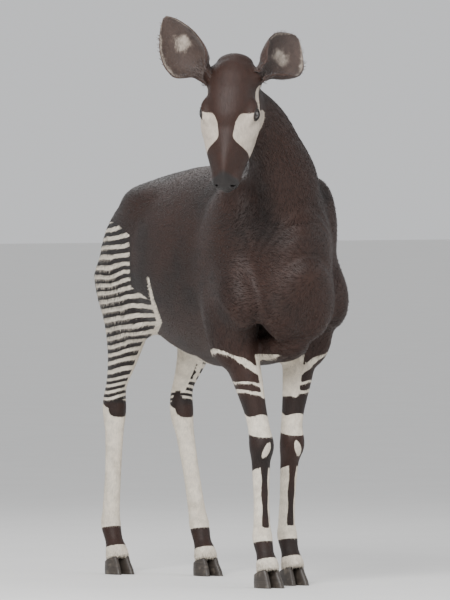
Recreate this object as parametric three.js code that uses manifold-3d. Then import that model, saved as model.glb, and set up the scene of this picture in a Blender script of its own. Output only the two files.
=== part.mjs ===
// An adult female okapi, life size, standing with her neck and head turned to her right.
// Millimetres, +Z up. She faces -Y, +X is her left, and Y = 0 is midway between her fore feet.
import * as THREE from "three";
import { mergeVertices } from "three/addons/utils/BufferGeometryUtils.js";
import Module from "manifold-3d";

const wasm = await Module();
wasm.setup();

// Driving sizes
const GAP = 0.3; // left between touching pieces
const WITHERS = 1600; // height of the back over the shoulder blades
const HALF_TRACK_FORE = 88; // a fore foot's distance from the middle line
const HALF_TRACK_HIND = 122;
const HIND_FEET = 970; // how far the hind feet stand behind the fore feet
const FORE_STEP = 70; // the right fore foot is this far forward, the left this far back
const HIND_STEP = 140; // the left hind foot is this far forward, the right this far back
const HOOF_HEIGHT = 76;
const HOOF_LENGTH = 112;
const HOOF_HALF = 25; // half the width of one claw
const CLEFT = 5; // gap between the two claws of a foot
const HEAD_YAW = 37; // degrees to her right
const HEAD_PITCH = 67; // degrees that the face points below level
const HEAD_TILT = -1.5; // its top leans to her left
const EYE_CENTRE = new THREE.Vector3(-386, -372, 1721); // the point midway between the eyes
const EYE_RADIUS = 23;
const EYE_SEAT = new THREE.Vector3(-43, 86, 12); // an eye's forward, sideways and upward place in the head
const LID = 4.5; // thickness of an eyelid
const EAR_LENGTH = 280;
const EAR_THICK = 6;
const EAR_STUB = 0.17; // the share of its length that belongs to the head
const EAR_ROOT = new THREE.Vector3(-188, 84, 14);
const TAIL_ROOT = new THREE.Vector3(0, 1090, 1290);
const TAIL_LENGTH = 330; // without the tuft
const LOCKS = 12; // in the tuft

// Body sections from breast to buttock: distance behind the fore feet, back, belly and half width.
const TRUNK = [
  [-205, 1250, 1000, 98],
  [-110, 1440, 930, 172],
  [30, 1552, 862, 220],
  [200, 1578, 818, 238],
  [420, 1572, 806, 252],
  [620, 1562, 850, 254],
  [800, 1534, 910, 232],
  [940, 1474, 960, 200],
  [1050, 1376, 1010, 154],
  [1118, 1280, 1070, 98],
];

// Limb sections from the body down: height, distance behind the foot's own place, distance from the
// middle line, how much of the foot's step this level takes, half width and half depth.
const FORELEG = [
  [1000, 42, 148, 0.15, 80, 106],
  [905, 56, 142, 0.25, 68, 90],
  [780, 30, 122, 0.45, 55, 68],
  [610, 8, 97, 0.72, 41, 45],
  [528, -4, 93, 0.8, 47, 49],
  [462, 6, 91, 0.86, 37, 36],
  [330, 12, 89, 0.95, 31, 33],
  [228, 14, 88, 1, 33, 37],
  [186, 10, 88, 1, 39, 42],
  [128, -12, 88, 1, 35, 36],
  [84, -30, 88, 1, 43, 47],
  [40, -42, 88, 1, 45, 50],
];
const HINDLEG = [
  [1130, -10, 132, 0.1, 104, 180],
  [995, -30, 136, 0.22, 86, 134],
  [850, 6, 124, 0.38, 58, 82],
  [712, 80, 108, 0.52, 39, 50],
  [628, 92, 102, 0.62, 45, 54],
  [540, 78, 104, 0.7, 36, 42],
  [380, 54, 112, 0.84, 32, 35],
  [240, 38, 120, 0.95, 34, 39],
  [192, 30, 122, 1, 39, 43],
  [130, 4, 122, 1, 35, 37],
  [84, -20, 122, 1, 43, 48],
  [40, -34, 122, 1, 45, 50],
];

// Head sections from the poll to the lips: forward of the eyes, upper line, lower line, half width.
const HEAD = [
  [-248, 38, -30, 58],
  [-200, 72, -80, 84],
  [-132, 88, -124, 96],
  [-32, 74, -136, 104],
  [44, 50, -126, 98],
  [100, 28, -112, 82],
  [150, 10, -102, 65],
  [192, -8, -96, 53],
];

const { clamp, lerp, degToRad } = THREE.MathUtils;
const vec = (x, y, z) => new THREE.Vector3(x, y, z);
const X_AXIS = vec(1, 0, 0);

// The head's own frame: +X along the face towards the lips, +Y to her left, +Z out of the forehead.
function headFrame() {
  const yaw = degToRad(-90 - HEAD_YAW);
  const turn = new THREE.Matrix4().makeRotationZ(yaw);
  const pitch = new THREE.Matrix4().makeRotationY(degToRad(HEAD_PITCH));
  const tilt = new THREE.Matrix4().makeRotationZ(degToRad(HEAD_TILT));
  return turn.multiply(pitch).multiply(tilt).setPosition(EYE_CENTRE);
}
const HEAD_FRAME = headFrame();
const TO_HEAD = HEAD_FRAME.clone().invert();
const inWorld = (x, y, z) => vec(x, y, z).applyMatrix4(HEAD_FRAME);
const HEAD_LEFT = vec(0, 1, 0).transformDirection(HEAD_FRAME);

// Two distances joined over a soft seam as wide as `blend`.
function join(a, b, blend) {
  const near = Math.max(blend - Math.abs(a - b), 0) / blend;
  return Math.min(a, b) - (near * near * blend) / 4;
}

// The distance to an ellipse-like body from its scaled coordinates.
function ellipsoidDistance(u, v, w, ru, rv, rw) {
  const k0 = Math.hypot(u / ru, v / rv, w / rw);
  const k1 = Math.hypot(u / (ru * ru), v / (rv * rv), w / (rw * rw));
  return k1 < 1e-9 ? -Math.min(ru, rv, rw) : (k0 * (k0 - 1)) / k1;
}

// A bent body with elliptical sections. Each station is {at, wide, deep, side}; `wide` runs along `side`.
function sweep(stations, steps = 6) {
  const centre = new THREE.CatmullRomCurve3(stations.map((s) => s.at), false, "centripetal");
  const half = new THREE.CatmullRomCurve3(stations.map((s) => vec(s.wide, s.deep, 0)));
  const count = (stations.length - 1) * steps;
  const rings = [];
  for (let i = 0; i <= count; i++) {
    const u = i / count;
    const from = Math.min(Math.floor(u * (stations.length - 1)), stations.length - 2);
    const share = u * (stations.length - 1) - from;
    const side = stations[from].side.clone().lerp(stations[from + 1].side, share);
    const along = centre.getTangent(u);
    side.addScaledVector(along, -side.dot(along)).normalize();
    const size = half.getPoint(u);
    rings.push({
      at: centre.getPoint(u),
      along,
      side,
      up: along.clone().cross(side),
      wide: size.x,
      deep: size.y,
    });
  }
  const reach = Math.max(...rings.map((r) => Math.max(r.wide, r.deep)));
  const box = new THREE.Box3().setFromPoints(rings.map((r) => r.at)).expandByScalar(reach);
  const distance = (p) => {
    const far = box.distanceToPoint(p);
    if (far > 150) return far;
    let best = Infinity;
    let index = 0;
    let share = 0;
    for (let i = 0; i < count; i++) {
      const a = rings[i].at;
      const b = rings[i + 1].at;
      const [dx, dy, dz] = [b.x - a.x, b.y - a.y, b.z - a.z];
      const t = clamp(
        ((p.x - a.x) * dx + (p.y - a.y) * dy + (p.z - a.z) * dz) / (dx * dx + dy * dy + dz * dz),
        0,
        1,
      );
      const gap = (a.x + t * dx - p.x) ** 2 + (a.y + t * dy - p.y) ** 2 + (a.z + t * dz - p.z) ** 2;
      if (gap < best) {
        best = gap;
        index = i;
        share = t;
      }
    }
    const [a, b] = [rings[index], rings[index + 1]];
    const off = p.clone().sub(a.at.clone().lerp(b.at, share));
    const wide = lerp(a.wide, b.wide, share);
    const deep = lerp(a.deep, b.deep, share);
    const side = a.side.clone().lerp(b.side, share).normalize();
    const up = a.up.clone().lerp(b.up, share).normalize();
    const along = a.along.clone().lerp(b.along, share).normalize();
    const cap = 0.8 * Math.min(wide, deep);
    return ellipsoidDistance(off.dot(side), off.dot(up), off.dot(along), wide, deep, cap);
  };
  return { rings, distance };
}

// A muscle or bone: an ellipsoid about `at`, turned by `tilt` degrees about X and then Z.
function mass(at, radii, tilt = 0, turn = 0) {
  const back = new THREE.Matrix4()
    .makeRotationZ(degToRad(turn))
    .multiply(new THREE.Matrix4().makeRotationX(degToRad(tilt)))
    .setPosition(at)
    .invert();
  return (p) => {
    const q = p.clone().applyMatrix4(back);
    return ellipsoidDistance(q.x, q.y, q.z, radii.x, radii.y, radii.z);
  };
}

function trunkSweep() {
  return sweep(
    TRUNK.map(([y, back, belly, half]) => ({
      at: vec(0, y, (back + belly) / 2),
      wide: half,
      deep: (back - belly) / 2,
      side: X_AXIS,
    })),
  );
}

// The leg's sections with its foot standing `step` behind its usual place.
function legSweep(levels, side, foot, step) {
  return sweep(
    levels.map(([z, back, out, share, wide, deep]) => ({
      at: vec(side * out, foot + back + share * step, z),
      wide,
      deep,
      side: X_AXIS,
    })),
  );
}

function neckSweep() {
  const base = X_AXIS;
  const poll = HEAD_LEFT;
  const mid = base.clone().lerp(poll, 0.5);
  return sweep([
    { at: vec(0, 130, 1320), wide: 160, deep: 240, side: base },
    { at: vec(-2, -10, 1395), wide: 160, deep: 205, side: base },
    { at: vec(-32, -118, 1510), wide: 132, deep: 165, side: base.clone().lerp(poll, 0.3) },
    { at: vec(-112, -204, 1632), wide: 102, deep: 124, side: mid },
    { at: vec(-196, -266, 1735), wide: 84, deep: 94, side: base.clone().lerp(poll, 0.8) },
    { at: inWorld(-128, 0, -30), wide: 70, deep: 88, side: poll },
  ]);
}

const SIDES = [
  { name: "left", sign: 1, foreStep: FORE_STEP, hindStep: -HIND_STEP + 15 },
  { name: "right", sign: -1, foreStep: -FORE_STEP, hindStep: HIND_STEP },
];

// The muscles and bones that show on the body, with how softly each flows into it.
function bodyMasses() {
  const made = [
    [mass(vec(0, 110, WITHERS - 110), vec(58, 215, 110), -3), 90],
    [mass(vec(0, 0, 895), vec(84, 190, 62)), 70],
  ];
  for (const { sign } of SIDES) {
    made.push(
      [mass(vec(sign * 166, 52, 1290), vec(78, 140, 236), 17, sign * 4), 70],
      [mass(vec(sign * 186, -50, 1090), vec(76, 100, 140), -28), 60],
      [mass(vec(sign * 188, 60, 980), vec(60, 112, 156), -8), 60],
      [mass(vec(sign * 66, -165, 1070), vec(80, 78, 142)), 70],
      [mass(vec(sign * 132, 915, 1190), vec(92, 190, 236), 8), 80],
      [mass(vec(sign * 112, 1045, 1150), vec(74, 100, 176), 6), 70],
      [mass(vec(sign * 148, 790, 1420), vec(50, 90, 46)), 110],
      [mass(vec(sign * 150, 840, 1000), vec(58, 86, 112), 20), 70],
    );
  }
  return made;
}

// What a hock and a knee add to a leg: the heel bone behind one, the round cap before the other.
function legMasses() {
  const made = [];
  for (const { sign, foreStep, hindStep } of SIDES) {
    const heel = HIND_FEET + 0.58 * hindStep;
    const knee = 0.8 * foreStep;
    made.push(
      [mass(vec(sign * 104, heel + 126, 668), vec(21, 24, 56), 14), 26],
      [mass(vec(sign * 93, knee - 18, 530), vec(34, 36, 48)), 22],
    );
  }
  return made;
}

const headSweep = () =>
  sweep(
    HEAD.map(([f, top, low, half]) => ({
      at: vec(f, 0, (top + low) / 2),
      wide: half,
      deep: (top - low) / 2,
      side: vec(0, 1, 0),
    })),
  );

// The bones and soft forms of the head, in the head's own frame.
function headMasses() {
  const made = [
    [mass(vec(-110, 0, 54), vec(110, 68, 34)), 40],
    [mass(vec(80, 0, 4), vec(130, 34, 40)), 40],
    [mass(vec(198, 0, -40), vec(42, 45, 36)), 26],
    [mass(vec(194, 0, -88), vec(38, 31, 20)), 14],
  ];
  for (const { sign } of SIDES) {
    made.push(
      [mass(vec(EYE_SEAT.x - 6, sign * 84, 30), vec(46, 26, 22), sign * 20), 26],
      [mass(vec(EYE_SEAT.x + 6, sign * 84, -22), vec(66, 26, 22)), 30],
      [mass(vec(-86, sign * 57, -74), vec(62, 31, 56)), 36],
      [mass(vec(200, sign * 27, -42), vec(32, 19, 26)), 14],
      [mass(EAR_ROOT.clone().multiply(vec(1, sign, 1)), vec(32, 30, 32)), 34],
    );
  }
  return made;
}

// One field for all the flesh: negative inside, in millimetres.
const trunk = trunkSweep();
const neck = neckSweep();
const head = headSweep();
const forelegs = SIDES.map((s) => legSweep(FORELEG, s.sign, 0, s.foreStep));
const hindlegs = SIDES.map((s) => legSweep(HINDLEG, s.sign, HIND_FEET, s.hindStep));
const BODY_MASSES = bodyMasses();
const LEG_MASSES = legMasses();
const HEAD_MASSES = headMasses();

function headField(p) {
  const q = p.clone().applyMatrix4(TO_HEAD);
  let d = head.distance(q);
  if (d > 150) return d;
  for (const [shape, blend] of HEAD_MASSES) d = join(d, shape(q), blend);
  return d;
}

function flesh(p) {
  let d = join(trunk.distance(p), neck.distance(p), 70);
  for (const [shape, blend] of BODY_MASSES) d = join(d, shape(p), blend);
  for (const leg of forelegs) d = join(d, leg.distance(p), 40);
  for (const leg of hindlegs) d = join(d, leg.distance(p), 50);
  for (const [shape, blend] of LEG_MASSES) d = join(d, shape(p), blend);
  return join(d, headField(p), 40);
}

// Moves a point onto the skin along the field's slope.
function toSkin(p, field) {
  const step = 0.5;
  for (let turn = 0; turn < 4; turn++) {
    const d = field(p);
    const slope = vec(
      field(vec(p.x + step, p.y, p.z)) - field(vec(p.x - step, p.y, p.z)),
      field(vec(p.x, p.y + step, p.z)) - field(vec(p.x, p.y - step, p.z)),
      field(vec(p.x, p.y, p.z + step)) - field(vec(p.x, p.y, p.z - step)),
    ).divideScalar(2 * step);
    const steep = Math.max(slope.lengthSq(), 0.2);
    p.addScaledVector(slope, clamp(-d / steep, -12, 12));
  }
  return p;
}

function range(from, to, step) {
  const count = Math.round((to - from) / step);
  return Array.from({ length: count + 1 }, (_, i) => from + ((to - from) * i) / count);
}

// The skin of a field inside a grid, one vertex for each cell that it crosses. The grid's box closes it.
function netOf(flow, xs, ys, zs) {
  const size = [xs.length, ys.length, zs.length];
  const inset = (xs[1] - xs[0]) / 2;
  const low = vec(xs[0], ys[0], zs[0]).addScalar(inset);
  const high = vec(xs.at(-1), ys.at(-1), zs.at(-1)).subScalar(inset);
  const field = (p) =>
    Math.max(flow(p), low.x - p.x, low.y - p.y, low.z - p.z, p.x - high.x, p.y - high.y, p.z - high.z);
  const node = (i, j, k) => (k * size[1] + j) * size[0] + i;
  const value = new Float64Array(size[0] * size[1] * size[2]);
  const point = (i, j, k) => vec(xs[i], ys[j], zs[k]);
  for (let k = 0; k < size[2]; k++)
    for (let j = 0; j < size[1]; j++)
      for (let i = 0; i < size[0]; i++) value[node(i, j, k)] = field(point(i, j, k));
  const corners = [0, 1, 2, 3, 4, 5, 6, 7].map((c) => [c & 1, (c >> 1) & 1, c >> 2]);
  const edges = corners.flatMap((a, m) =>
    corners.flatMap((b, n) => (n > m && [1, 2, 4].includes(n ^ m) ? [[a, b]] : [])),
  );
  const places = [];
  const vertexOf = new Map();
  for (let k = 0; k + 1 < size[2]; k++)
    for (let j = 0; j + 1 < size[1]; j++)
      for (let i = 0; i + 1 < size[0]; i++) {
        const sum = vec(0, 0, 0);
        let crossed = 0;
        for (const [a, b] of edges) {
          const va = value[node(i + a[0], j + a[1], k + a[2])];
          const vb = value[node(i + b[0], j + b[1], k + b[2])];
          if (va < 0 === vb < 0) continue;
          const pa = point(i + a[0], j + a[1], k + a[2]);
          sum.add(pa.lerp(point(i + b[0], j + b[1], k + b[2]), va / (va - vb)));
          crossed++;
        }
        if (!crossed) continue;
        vertexOf.set(node(i, j, k), places.length);
        places.push(toSkin(sum.divideScalar(crossed), field));
      }
  const faces = [];
  const quad = (a, b, c, d) => {
    const short = places[a].distanceTo(places[c]) < places[b].distanceTo(places[d]);
    faces.push(...(short ? [a, b, c, a, c, d] : [b, c, d, b, d, a]));
  };
  for (let k = 0; k + 1 < size[2]; k++)
    for (let j = 0; j + 1 < size[1]; j++)
      for (let i = 0; i + 1 < size[0]; i++) {
        const inside = value[node(i, j, k)] < 0;
        const ways = [
          [j * k, node(i + 1, j, k), [0, -1, -1], [0, 0, -1], [0, 0, 0], [0, -1, 0]],
          [i * k, node(i, j + 1, k), [-1, 0, -1], [-1, 0, 0], [0, 0, 0], [0, 0, -1]],
          [i * j, node(i, j, k + 1), [-1, -1, 0], [0, -1, 0], [0, 0, 0], [-1, 0, 0]],
        ];
        for (const [within, next, ...ring] of ways) {
          if (!within || value[next] < 0 === inside) continue;
          const round = ring.map(([a, b, c]) => vertexOf.get(node(i + a, j + b, k + c)));
          quad(...(inside ? round : round.reverse()));
        }
      }
  return solid(places, faces);
}

// A manifold solid from points and triangle corners.
function solid(places, faces) {
  const vertProperties = new Float32Array(places.flatMap((p) => [p.x, p.y, p.z]));
  return new wasm.Manifold(
    new wasm.Mesh({ numProp: 3, vertProperties, triVerts: new Uint32Array(faces) }),
  );
}

// A manifold solid from a three.js geometry.
function solidOf(geometry) {
  const plain = geometry.clone();
  for (const name of ["normal", "uv"]) plain.deleteAttribute(name);
  const merged = mergeVertices(plain, 1e-4);
  return new wasm.Manifold(
    new wasm.Mesh({
      numProp: 3,
      vertProperties: new Float32Array(merged.attributes.position.array),
      triVerts: new Uint32Array(merged.index.array),
    }),
  );
}

// A closed skin through rings of points, all with the same number of sides. The end rings are filled
// from their middle, or across from one half of the ring to the other where the ring is a thin strip.
function loft(rings, strip = false) {
  const sides = rings[0].length;
  const places = rings.flat();
  const faces = [];
  for (let r = 0; r + 1 < rings.length; r++)
    for (let s = 0; s < sides; s++) {
      const [a, b] = [r * sides + s, r * sides + ((s + 1) % sides)];
      faces.push(a, b, b + sides, a, b + sides, a + sides);
    }
  for (const r of [0, rings.length - 1]) {
    const cap = [];
    const first = r * sides;
    if (strip) {
      for (let s = 0; s + 1 < sides / 2; s++) {
        const [a, b, c, d] = [s, s + 1, sides - 2 - s, sides - 1 - s].map((i) => first + i);
        cap.push([a, b, c], [a, c, d]);
      }
    } else {
      const middle = vec(0, 0, 0);
      for (const p of rings[r]) middle.addScaledVector(p, 1 / sides);
      for (let s = 0; s < sides; s++) cap.push([first + s, first + ((s + 1) % sides), places.length]);
      places.push(middle);
    }
    for (const [a, b, c] of cap) faces.push(...(r === 0 ? [b, a, c] : [a, b, c]));
  }
  return solid(places, faces);
}

// A limb's skin: from each station of its sweep, rays feel outwards for the surface of the field.
function limb(stations, field, sides) {
  return loft(
    stations.map(({ at, side, up, wide, deep }) => {
      const ring = [];
      for (let s = 0; s < sides; s++) {
        const angle = (2 * Math.PI * s) / sides;
        const way = side
          .clone()
          .multiplyScalar(wide * Math.cos(angle))
          .addScaledVector(up, deep * Math.sin(angle));
        const reach = way.length();
        way.normalize();
        const feel = (r) => field(at.clone().addScaledVector(way, r));
        let [near, far] = [0, reach * 0.6];
        while (feel(far) < 0 && far < reach * 2.2) far += 4;
        near = Math.max(far - reach * 0.6 - 4, 0);
        for (let turn = 0; turn < 18; turn++) {
          const middle = (near + far) / 2;
          if (feel(middle) < 0) near = middle;
          else far = middle;
        }
        ring.push(at.clone().addScaledVector(way, far));
      }
      return ring;
    }),
  );
}

// Everything on the far side of a plane, as a block big enough to cut with.
function beyond(at, normal, reach = 1500) {
  const block = new THREE.BoxGeometry(reach, reach, reach).translate(0, 0, reach / 2);
  const turn = new THREE.Quaternion().setFromUnitVectors(vec(0, 0, 1), normal.clone().normalize());
  block.applyQuaternion(turn).translate(at.x, at.y, at.z);
  return solidOf(block);
}

// The two sides of a cut, each drawn back by half the gap.
function cutPlane(at, normal) {
  const n = normal.clone().normalize();
  return {
    far: beyond(at.clone().addScaledVector(n, -GAP / 2), n),
    near: beyond(at.clone().addScaledVector(n, GAP / 2), n.clone().negate()),
  };
}

const largest = (made) =>
  made.decompose().reduce((best, one) => (one.volume() > best.volume() ? one : best));

function geometryOf(made) {
  const { numProp, vertProperties, triVerts } = made.getMesh();
  const places = new Float32Array((vertProperties.length / numProp) * 3);
  for (let i = 0; i < places.length / 3; i++)
    places.set(vertProperties.subarray(i * numProp, i * numProp + 3), i * 3);
  return new THREE.BufferGeometry()
    .setAttribute("position", new THREE.BufferAttribute(places, 3))
    .setIndex(new THREE.BufferAttribute(triVerts, 1));
}

// Where each ear starts, points and opens; she turns the right one forwards, the left one outwards.
const EARS = [
  {
    name: "right",
    root: inWorld(EAR_ROOT.x, -EAR_ROOT.y, EAR_ROOT.z),
    along: vec(-0.6, 0.16, 0.79),
    open: vec(-0.8, -0.6, 0),
    turn: -1,
  },
  {
    name: "left",
    root: inWorld(EAR_ROOT.x, EAR_ROOT.y, EAR_ROOT.z),
    along: vec(0.78, 0.33, 0.53),
    open: vec(0.1, -0.95, 0.3),
    turn: 1,
  },
];

// Where the parts meet
const NECK_CUT = cutPlane(vec(-10, -60, 1450), vec(-0.2, -0.6, 0.77));
const HEAD_CUT = cutPlane(inWorld(-120, 0, -116), vec(0.34, 0, 0.94).transformDirection(HEAD_FRAME));
const FORELEG_CUT = cutPlane(vec(0, 0, 792), vec(0, 0.02, -1));
const HINDLEG_CUT = cutPlane(vec(0, 960, 950), vec(0, 0.45, -1));

const FORE = { levels: FORELEG, cut: FORELEG_CUT, top: 850, foot: 0, sides: 16 };
const HIND = { levels: HINDLEG, cut: HINDLEG_CUT, top: 1060, foot: HIND_FEET, sides: 18 };

function torso() {
  const made = netOf(flesh, range(-338, 338, 52), range(-350, 1300, 52), range(660, 1700, 52));
  return largest(
    made
      .subtract(NECK_CUT.far)
      .subtract(FORELEG_CUT.far.add(HINDLEG_CUT.far))
      .subtract(tailStem(GAP)),
  );
}

// Legs: everything of the flesh below the cut, down to the top of the claws.
function leg({ levels, cut, top, foot, sides }, side, step) {
  const own = legSweep(levels, side, foot, step);
  const field = (p) => Math.max(flesh(p), 3 - side * p.x);
  const stations = own.rings.filter((r, i) => i % 2 === 0 && r.at.z < top);
  const made = limb(stations, field, sides).subtract(cut.near);
  return largest(made.subtract(coronetCut(foot, step).far));
}

// The sloping plane where a leg meets its claws: higher in front than at the heel.
function coronetCut(foot, step) {
  return cutPlane(vec(0, foot + step - 42, HOOF_HEIGHT - 14), vec(0, -0.34, -1));
}

// One claw: a toe that points forward, a steep wall and a flat sole on the ground.
function claw(side, foot, step, track, inner) {
  const sides = 12;
  const levels = [
    { rise: 0, length: 1, back: 0 },
    { rise: 0.25, length: 0.97, back: 6 },
    { rise: 1.1, length: 0.7, back: 34 },
  ];
  const rings = levels.map(({ rise, length, back }) =>
    Array.from({ length: sides }, (_, s) => {
      const angle = (2 * Math.PI * s) / sides;
      const toe = Math.sin(angle) < 0 ? 1 - 0.18 * Math.abs(Math.sin(angle)) : 1;
      const width = Math.max(length, 0.86);
      return vec(
        side * track + inner * (HOOF_HALF * width + CLEFT / 2) + Math.cos(angle) * toe * HOOF_HALF * width,
        foot + step - 48 + (Math.sin(angle) * HOOF_LENGTH * length) / 2 + back,
        rise * HOOF_HEIGHT,
      );
    }),
  );
  return largest(loft(rings).subtract(coronetCut(foot, step).near));
}

// The tail's own stem, from inside the rump down to the tuft, grown by `more`.
function tailStem(more = 0) {
  const steps = 8;
  const rings = range(-0.16, 1, 1.16 / steps).map((t) => {
    const { at, along } = tailPoint(t);
    const size = lerp(30, 15, clamp(t, 0, 1) ** 0.7) + more;
    const up = along.clone().cross(X_AXIS);
    return Array.from({ length: 12 }, (_, s) => {
      const angle = (2 * Math.PI * s) / 12;
      return at
        .clone()
        .addScaledVector(X_AXIS, size * Math.cos(angle))
        .addScaledVector(up, size * 0.9 * Math.sin(angle));
    });
  });
  rings[0].forEach((p) => p.addScaledVector(tailPoint(-0.16).along, -more));
  return loft(rings);
}

// The tail leaves the rump backwards and soon hangs straight down.
function tailPoint(t) {
  const lean = (s) => degToRad(lerp(42, 88, clamp(s * 2.2, 0, 1)));
  const at = TAIL_ROOT.clone();
  const steps = 20;
  for (let i = 0; i < steps; i++) {
    const angle = lean(((i + 0.5) / steps) * t);
    at.add(vec(0, Math.cos(angle), -Math.sin(angle)).multiplyScalar((TAIL_LENGTH * t) / steps));
  }
  return { at, along: vec(0, Math.cos(lean(t)), -Math.sin(lean(t))) };
}

// A flat tapered lock of hair that bends as it falls.
function lock(root, turn, length, width) {
  const out = vec(Math.cos(turn), Math.sin(turn), 0);
  const flat = vec(-Math.sin(turn), Math.cos(turn), 0);
  return loft(
    [0, 0.3, 0.6, 0.85, 1].map((t) => {
      const at = root
        .clone()
        .addScaledVector(out, 26 * Math.sin(Math.PI * t * 0.8) - 6 * t)
        .add(vec(0, 0, -length * t));
      const size = width * (0.7 + 0.9 * t * (1 - t)) * (1 - 0.85 * t * t);
      return [
        at.clone().addScaledVector(flat, size),
        at.clone().addScaledVector(out, size * 0.42),
        at.clone().addScaledVector(flat, -size),
        at.clone().addScaledVector(out, -size * 0.42),
      ];
    }),
  );
}

function tail() {
  let made = tailStem();
  for (let i = 0; i < LOCKS; i++) {
    const turn = i * 2.4;
    const start = tailPoint(0.72 + 0.24 * ((i * 0.37) % 1)).at;
    const root = start.clone().add(vec(8 * Math.cos(turn), 8 * Math.sin(turn), 6));
    made = made.add(lock(root, turn, 128 + 34 * ((i * 0.61) % 1), 11));
  }
  return largest(made);
}

// Where an ear's root on the head ends and its own piece begins.
function earCut({ root, along }) {
  const way = along.clone().normalize();
  return cutPlane(root.clone().addScaledVector(way, EAR_LENGTH * EAR_STUB), way);
}

// An ear: a curved shell that is nearly a tube at its root and opens into a broad cup.
function ear({ root, along, open, turn }) {
  const way = along.clone().normalize();
  const face = open.clone().addScaledVector(way, -open.dot(way)).normalize();
  const side = way.clone().cross(face);
  const shape = [
    { t: 0, half: 25, arc: 150 },
    { t: 0.14, half: 34, arc: 132 },
    { t: 0.27, half: 70, arc: 104 },
    { t: 0.43, half: 88, arc: 82 },
    { t: 0.61, half: 84, arc: 68 },
    { t: 0.78, half: 62, arc: 56 },
    { t: 0.91, half: 36, arc: 46 },
    { t: 1, half: 8, arc: 40 },
  ];
  const across = 10;
  const rings = shape.map(({ t, half, arc }) => {
    const spread = degToRad(arc);
    const radius = half / Math.sin(Math.min(spread, Math.PI / 2));
    const spine = root
      .clone()
      .addScaledVector(way, EAR_LENGTH * t)
      .addScaledVector(face, -14 * Math.sin(Math.PI * t))
      .addScaledVector(side, turn * 10 * Math.sin(Math.PI * t));
    const shell = (grow, from) =>
      Array.from({ length: across + 1 }, (_, i) => {
        const angle = lerp(-spread, spread, from ? 1 - i / across : i / across);
        return spine
          .clone()
          .addScaledVector(face, radius - (radius + grow) * Math.cos(angle))
          .addScaledVector(side, (radius + grow) * Math.sin(angle));
      });
    return [...shell(-EAR_THICK / 2, false), ...shell(EAR_THICK / 2, true)];
  });
  return loft(rings, true);
}

function neckPiece() {
  const made = limb(neck.rings.filter((_, i) => i % 2 === 0), flesh, 22);
  return largest(made.subtract(NECK_CUT.near).subtract(HEAD_CUT.far));
}

// A ball about an eye's seat, in the world.
function ball(sign, radius) {
  const seat = EYE_SEAT.clone().multiply(vec(1, sign, 1));
  const round = new THREE.SphereGeometry(radius, 16, 10).translate(seat.x, seat.y, seat.z);
  return solidOf(round.applyMatrix4(HEAD_FRAME));
}

// The almond opening between the lids, as a cone that widens outwards from the eye's middle.
function lidOpening(sign) {
  const seat = EYE_SEAT.clone().multiply(vec(1, sign, 1));
  const out = vec(0.3, sign * 0.92, 0.14).normalize();
  const level = vec(1, 0, -0.22).addScaledVector(out, -out.dot(vec(1, 0, -0.22))).normalize();
  const up = out.clone().cross(level).multiplyScalar(-sign);
  const sides = 14;
  const rings = [0.05, 1, 2.2].map((reach) =>
    Array.from({ length: sides }, (_, s) => {
      const angle = (2 * Math.PI * s * -sign) / sides;
      return seat
        .clone()
        .addScaledVector(out, EYE_RADIUS * reach)
        .addScaledVector(level, reach * 21 * Math.cos(angle))
        .addScaledVector(up, reach * 13 * Math.sin(angle) * Math.abs(Math.sin(angle)) ** 0.35);
    }),
  );
  return loft(rings.map((ring) => ring.map((p) => p.applyMatrix4(HEAD_FRAME))));
}

// A bent teardrop hole on each side of the muzzle.
function nostril(sign) {
  const hole = new THREE.SphereGeometry(1, 12, 8)
    .scale(17, 5.5, 10)
    .rotateY(degToRad(38))
    .rotateZ(degToRad(sign * -32))
    .translate(222, sign * 27, -34);
  return solidOf(hole.applyMatrix4(HEAD_FRAME));
}

// The line of the mouth: a thin tube laid on the skin from one corner round the lips to the other.
function mouthLine() {
  const radius = 3;
  const points = range(-1, 1, 1 / 11).map((t) => {
    const turn = t * degToRad(96);
    const from = vec(lerp(172, 104, Math.abs(t) ** 2), 0, lerp(-68, -84, Math.abs(t)));
    const way = vec(Math.cos(turn), Math.sin(turn), 0);
    let reach = 0;
    while (headField(from.clone().addScaledVector(way, reach).applyMatrix4(HEAD_FRAME)) < 0) reach += 1;
    return from.addScaledVector(way, reach);
  });
  const path = new THREE.CatmullRomCurve3(points);
  const rings = range(0, 1, 1 / 30).map((t) => {
    const at = path.getPoint(t);
    const along = path.getTangent(t);
    const up = vec(0, 0, 1);
    const out = along.clone().cross(up).normalize();
    return [0, 1, 2, 3, 4, 5].map((s) => {
      const angle = (-Math.PI * s) / 3;
      return at
        .clone()
        .addScaledVector(out, 2 * radius * Math.cos(angle))
        .addScaledVector(up, radius * 0.8 * Math.sin(angle))
        .applyMatrix4(HEAD_FRAME);
    });
  });
  return loft(rings);
}

function headPiece() {
  const local = (p) => flesh(p.clone().applyMatrix4(HEAD_FRAME));
  const net = netOf(local, range(-330, 265, 20), range(-160, 160, 20), range(-175, 125, 20));
  let made = net.transform(HEAD_FRAME.elements).subtract(HEAD_CUT.near);
  for (const { sign } of SIDES) {
    made = made
      .add(ball(sign, EYE_RADIUS + LID))
      .subtract(lidOpening(sign))
      .subtract(ball(sign, EYE_RADIUS + GAP))
      .subtract(nostril(sign));
  }
  for (const one of EARS) made = made.add(ear(one).subtract(earCut(one).far));
  return largest(made.subtract(mouthLine()));
}

const COLOURS = {
  coat: 0x2b1a14,
  white: 0xd9d2c6,
  horn: 0x2a2623,
  eye: 0x0b0908,
};
const finish = {
  coat: new THREE.MeshStandardMaterial({ color: COLOURS.coat, roughness: 0.62 }),
  pale: new THREE.MeshStandardMaterial({ color: COLOURS.white, roughness: 0.7 }),
  horn: new THREE.MeshStandardMaterial({ color: COLOURS.horn, roughness: 0.45 }),
  eye: new THREE.MeshStandardMaterial({ color: COLOURS.eye, roughness: 0.08 }),
};

const okapi = new THREE.Group();
function add(name, made, material) {
  const mesh = new THREE.Mesh(geometryOf(made), material);
  mesh.name = name;
  okapi.add(mesh);
}

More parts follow.
